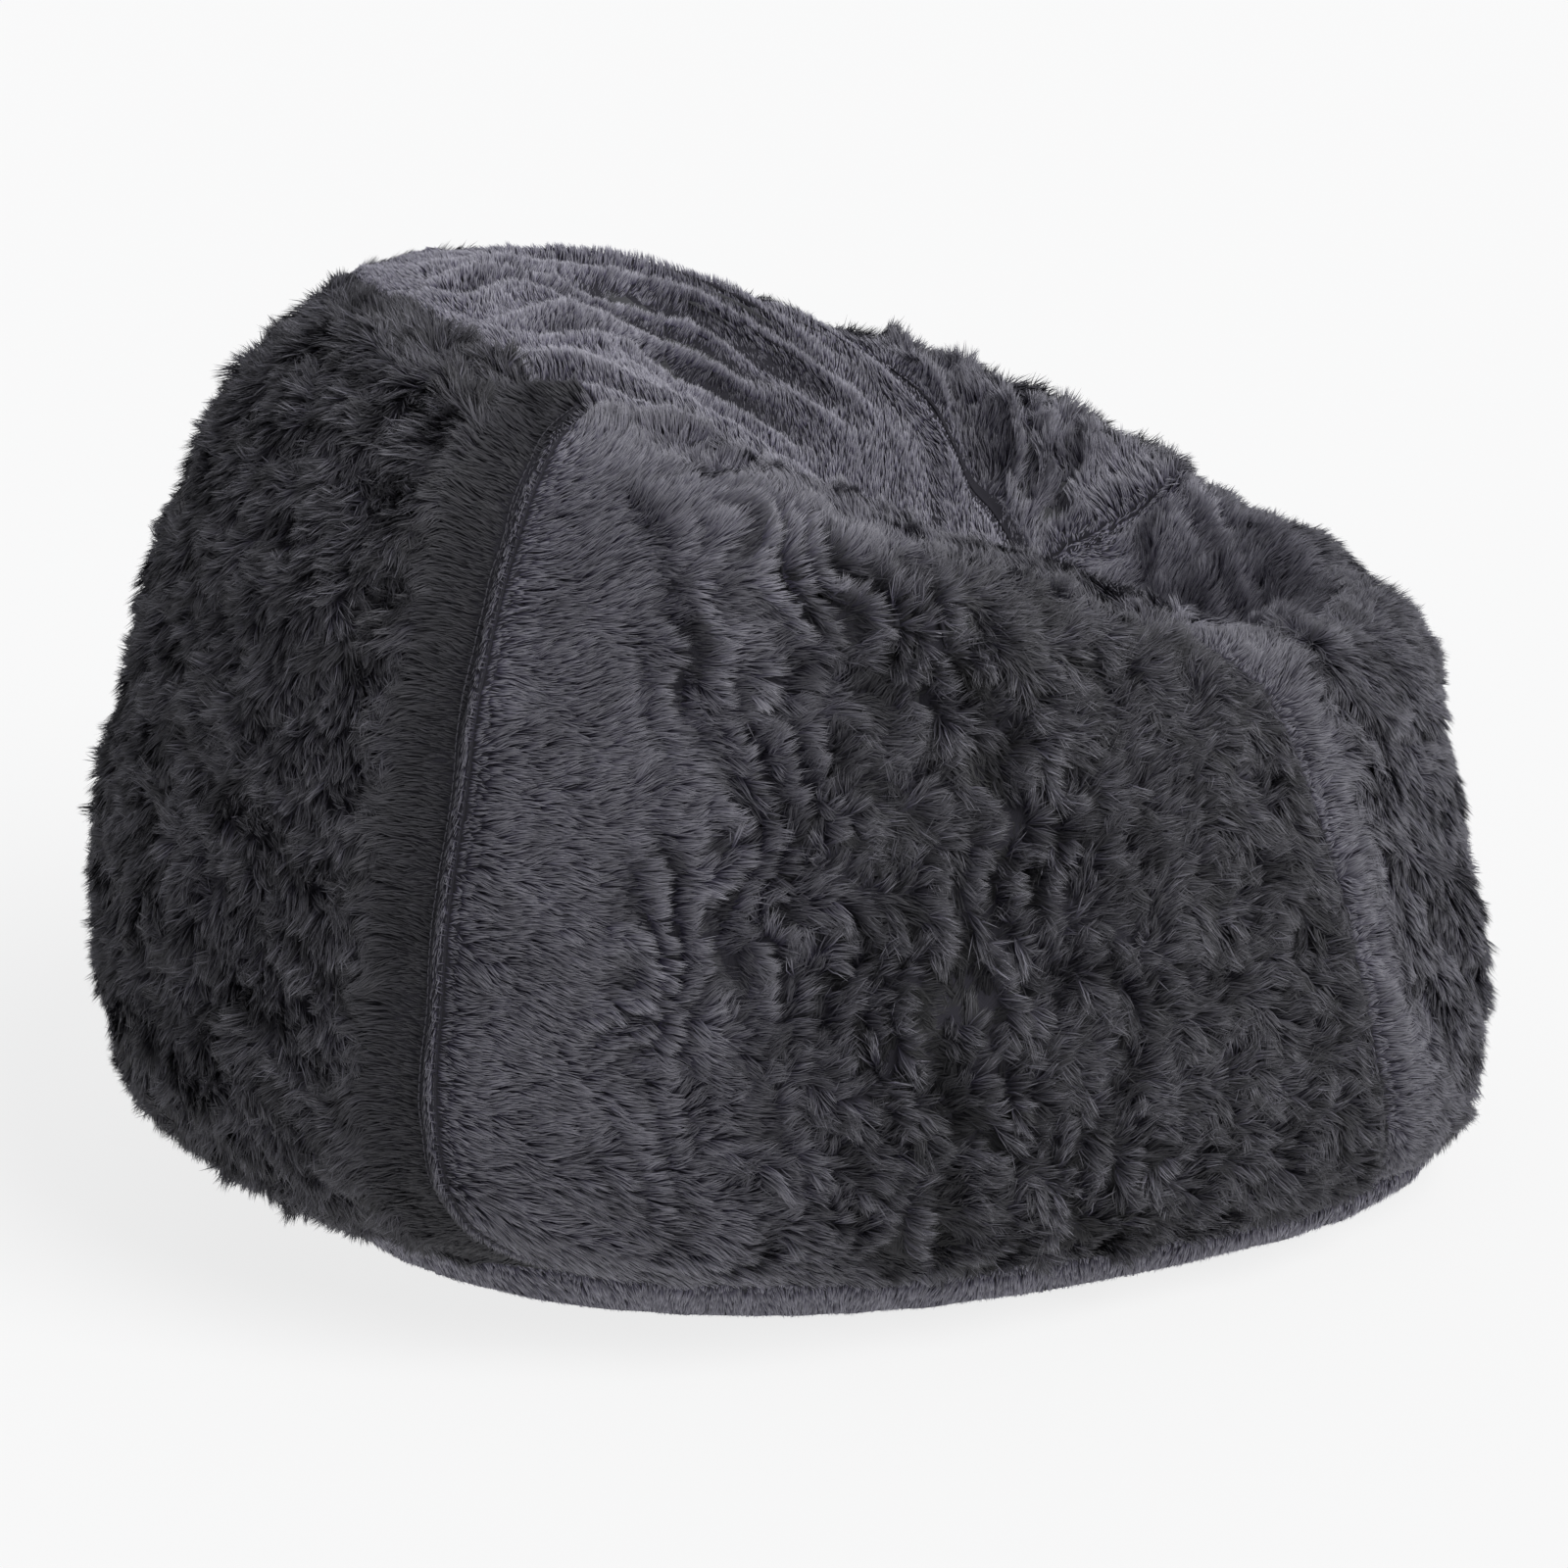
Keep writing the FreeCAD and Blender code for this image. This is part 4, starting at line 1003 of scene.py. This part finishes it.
# thickness of the cloths, and how far the liner lies under the knitted back
BACK_THICK, LINER_THICK, BASE_THICK, LINER_DEPTH = 0.0012, 0.0008, 0.0016, 0.004

for name, node in NODES.items():
    cloth = node.replace("base_", "") + "_cloth"
    backing = add_sheet(cloth, sheet_mesh(node, name, 0.0), BACKING, BACK_THICK)
    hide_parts(node)
    corners, shading, tone = grow(name)
    count = math.ceil(len(corners) / MOST_BLADES)
    for k, rows in enumerate(np.array_split(np.arange(len(corners)), count)):
        mesh = blade_mesh(f"{name}_pile_{k + 1}", corners[rows], shading[rows], tone[rows])
        add_object(f"{name}_pile_{k + 1}", mesh, FUR)
    node = LINER_NODES[name]
    lining = sheet_mesh(node, name, LINER_DEPTH, 61)
    liner = add_sheet(node + "_cloth", lining, LINER, LINER_THICK)
    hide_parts(node)
    width, length, area = CUTS[name]


BEAD_DEPTH, BEAD_FLOOR = 0.018, 0.030       # under the outside of the pile, and over the floor


def add_filling():
    """The beads as one crowned mass that fills the liner."""
    rows, cols = slice(2, len(LEVELS), 3), slice(0, AROUND, 4)
    low = offset.copy()
    for _ in range(4):
        low = np.minimum.reduce([low, np.roll(low, 1, 0), np.roll(low, -1, 0)])
        low[:, 1:-1] = np.minimum.reduce([low[:, 1:-1], low[:, 2:], low[:, :-2]])
    spots = (design + design_normal * (low - BEAD_DEPTH)[..., None])[cols, rows]
    spots[..., 2] = np.maximum(spots[..., 2], BEAD_FLOOR)
    n, m = spots.shape[:2]
    points = np.vstack([spots.reshape(-1, 3), spots[:, 0].mean(0), spots[:, -1].mean(0)])
    faces = closed_grid(n, m)
    for i in range(n):
        k = (i + 1) % n
        faces += [(k * m, i * m, n * m), (i * m + m - 1, k * m + m - 1, n * m + 1)]
    mass = add_object("bead_mass", smooth_mesh("bead_mass", points, faces), BEADS)
    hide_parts("bead_filling")


TWIN_DEPTH, SEAT_DEPTH, BAND_DEPTH = 0.0052, 0.0055, 0.0050      # of the needlework in the pile
SEAT_ROWS = (("seat_back", -0.3), ("seat_left", 0.3))            # sideways as a share of the gauge


def add_stitching():
    """The rows of twin needlework, of the seat's seams and above the band."""
    for name in TWIN_SEAMS:
        threads = []
        for share in TWIN_SHARES:
            threads += stitches(*row_beside(SEAMS[name], share * NEEDLE_GAUGE), TWIN_DEPTH)
        add_threads(name + "_stitches", threads, name + "_topstitch")
    threads = []
    for name, share in SEAT_ROWS:
        threads += stitches(*row_beside(SEAMS[name], share * NEEDLE_GAUGE, flat=True), SEAT_DEPTH)
    add_threads("seat_stitches", threads, "seat_topstitch")
    threads = []
    for start in (-178, 2):
        line = [(start + 44 * i, BAND_LEVEL + 0.03) for i in range(5)]
        threads += stitches(*row_beside(line, 0, count=900), BAND_DEPTH)
    add_threads("band_stitches", threads, "band_topstitch")


ZIP_FRONT, ZIP_LENGTH, TAPE_BASE = -0.330, 0.560, 0.0117
ZIP_BACK = ZIP_FRONT + ZIP_LENGTH
COIL_NEAR, COIL_WIDE, COIL_TALL, COIL_PITCH, COIL_WIRE = 0.0007, 0.0025, 0.0021, 0.0022, 0.00036
ZIP_ROWS, ZIP_ROW_HEIGHT = (0.0080, 0.0135), 0.0104
BASE_INSET, BASE_HALF_GAP = 0.006, 0.0066


def base_edge(angles, inset):
    """The floor ring, moved inwards."""
    spots = ring("floor", angles)
    middle = np.array([0, -RINGS["floor"][3], 0])
    reach = spots - middle
    far = np.linalg.norm(reach, axis=-1, keepdims=True)
    return middle + reach * (1 - inset / far)


def base_sheet(side):
    """Half of the base cloth, from the zip to the band, with a raised channel for the zip."""
    edge = base_edge(np.radians(np.linspace(-180, 180, 1441)), BASE_INSET)
    edge = edge[edge[:, 0] * side > BASE_HALF_GAP]
    edge = edge[np.argsort(edge[:, 1])]
    front, back = edge[0, 1], edge[-1, 1]
    rows, cols = 150, 90
    y = front + (back - front) * (0.5 - 0.5 * np.cos(np.linspace(0.02, np.pi - 0.02, rows)))
    far = np.interp(y, edge[:, 1], abs(edge[:, 0]))
    share = np.linspace(0, 1, cols) ** 1.6
    beside_zip = ramp(y, ZIP_FRONT - 0.045, ZIP_FRONT - 0.012)
    beside_zip = beside_zip * (1 - ramp(y, ZIP_BACK + 0.012, ZIP_BACK + 0.045))
    inner = (0.0002 + 0.0064 * beside_zip)[:, None]
    x = inner + (far[:, None] - inner) * share[None]
    yy = np.broadcast_to(y[:, None], x.shape)
    spots = np.stack([side * x, yy, 0 * x], -1)
    creases = 0.0007 * (1 + waves(spots, 0.035, 31)) * ramp(x, 0.046, 0.075)
    pucker = 0.0006 * (1 + np.sin(2 * np.pi * yy / 0.017 + 2 * waves(spots, 0.08, 32)))
    pucker = pucker * (1 - ramp(x, 0.008, 0.020))
    channel = ramp(yy, front + 0.01, front + 0.08) * (1 - ramp(yy, back - 0.07, back - 0.01))
    height = 0.0100 * channel * (1 - ramp(x, 0.026, 0.046)) + np.maximum(creases, 0) + pucker * 0.5
    spots[..., 2] = height + 0.0016
    faces = grid_faces(np.arange(rows * cols).reshape(rows, cols).T)
    if side < 0:
        faces = faces[:, ::-1]
    return smooth_mesh("base_sheet", spots.reshape(-1, 3), faces.tolist())


def coil_mesh(label, side):
    """One side of a nylon coil: a flattened helix beside the closing line."""
    start, end = ZIP_FRONT + 0.024, ZIP_BACK - 0.012
    turns = (end - start) / COIL_PITCH
    t = np.arange(int(turns * 10)) / 10 * 2 * np.pi
    x = COIL_NEAR + COIL_WIDE / 2 + (COIL_WIDE / 2 - COIL_WIRE) * np.cos(t)
    z = TAPE_BASE - COIL_TALL / 2 + (COIL_TALL / 2 - COIL_WIRE) * np.sin(t)
    y = start + COIL_PITCH * (t / (2 * np.pi) + (0.25 if side > 0 else 0.75))
    y = np.minimum(y, end - COIL_WIRE)
    return tube_mesh(label, [np.stack([side * x, y, z], 1)], COIL_WIRE, 5)


def add_underside():
    """The base cloth, the zip's coils and the rows of stitches beside them."""
    for side, name in ((1, "left"), (-1, "right")):
        cloth = add_sheet(f"base_{name}_cloth", base_sheet(side), BASE_CLOTH, BASE_THICK)
        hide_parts("base_panel_" + name)
        coil = add_object(f"zip_teeth_{name}", coil_mesh(f"zip_teeth_{name}", side), COIL)
        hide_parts("zip_coil_" + name)
    threads = []
    y = np.linspace(ZIP_FRONT, ZIP_BACK, 60)
    for x in ZIP_ROWS:
        for side in (1, -1):
            line = np.stack([0 * y + side * x, y, 0 * y + ZIP_ROW_HEIGHT], 1)
            threads += stitches(line, -UP + 0 * line, 0.0)
    add_threads("zip_stitches", threads, "zip_topstitch")


add_filling()
add_stitching()
add_underside()


# ---- the room, the light and the camera

FLOOR_HALF, FLOOR_TONE, FLOOR_GLOW, SKY = 30, 0.12, 0.795, 0.42
CAMERA_TURN, CAMERA_RISE, CAMERA_FAR = math.radians(245), math.radians(19.5), 5.0
AIM = Vector((-0.0021, -0.0027, 0.2800))


def add_floor():
    corners = [(x * FLOOR_HALF, y * FLOOR_HALF, 0) for x, y in ((-1, -1), (1, -1), (1, 1), (-1, 1))]
    floor = linked("floor", new_mesh("floor", corners, [(0, 1, 2, 3)]))
    floor.data.materials.append(new_material("floor", [FLOOR_TONE] * 3, 0.95, Emission_Color=(1, 1, 1, 1),
                                             Emission_Strength=FLOOR_GLOW)[0])
    floor.location.z = -0.0005


def toward(turn, rise):
    """The direction of a heading and a height, both in radians."""
    return Vector((math.sin(turn) * math.cos(rise), -math.cos(turn) * math.cos(rise), math.sin(rise)))


def add_sun(name, turn, rise, softness, power):
    """A studio light from a heading and height in degrees, even over the whole floor."""
    lamp = bpy.data.lights.new(name, "SUN")
    lamp.angle, lamp.energy = math.radians(softness), power
    back = toward(math.radians(turn), math.radians(rise))
    linked(name, lamp).rotation_euler = back.to_track_quat("Z", "Y").to_euler()


def add_camera():
    lens = bpy.data.cameras.new("camera")
    lens.lens, lens.sensor_width = 164.2, 36.0
    camera = linked("camera", lens)
    back = toward(CAMERA_TURN, CAMERA_RISE)
    camera.location = AIM + back * CAMERA_FAR
    camera.rotation_euler = back.to_track_quat("Z", "Y").to_euler()
    bpy.context.scene.camera = camera


add_floor()
world = bpy.data.worlds.new("studio")
world.use_nodes = True
sky = world.node_tree.nodes["Background"]
sky.inputs["Color"].default_value = (0.96, 0.97, 1.0, 1)
sky.inputs["Strength"].default_value = SKY
bpy.context.scene.world = world
add_sun("key", -66, 46, 40, 2.9)
add_camera()
bpy.context.scene.view_settings.view_transform = "Standard"
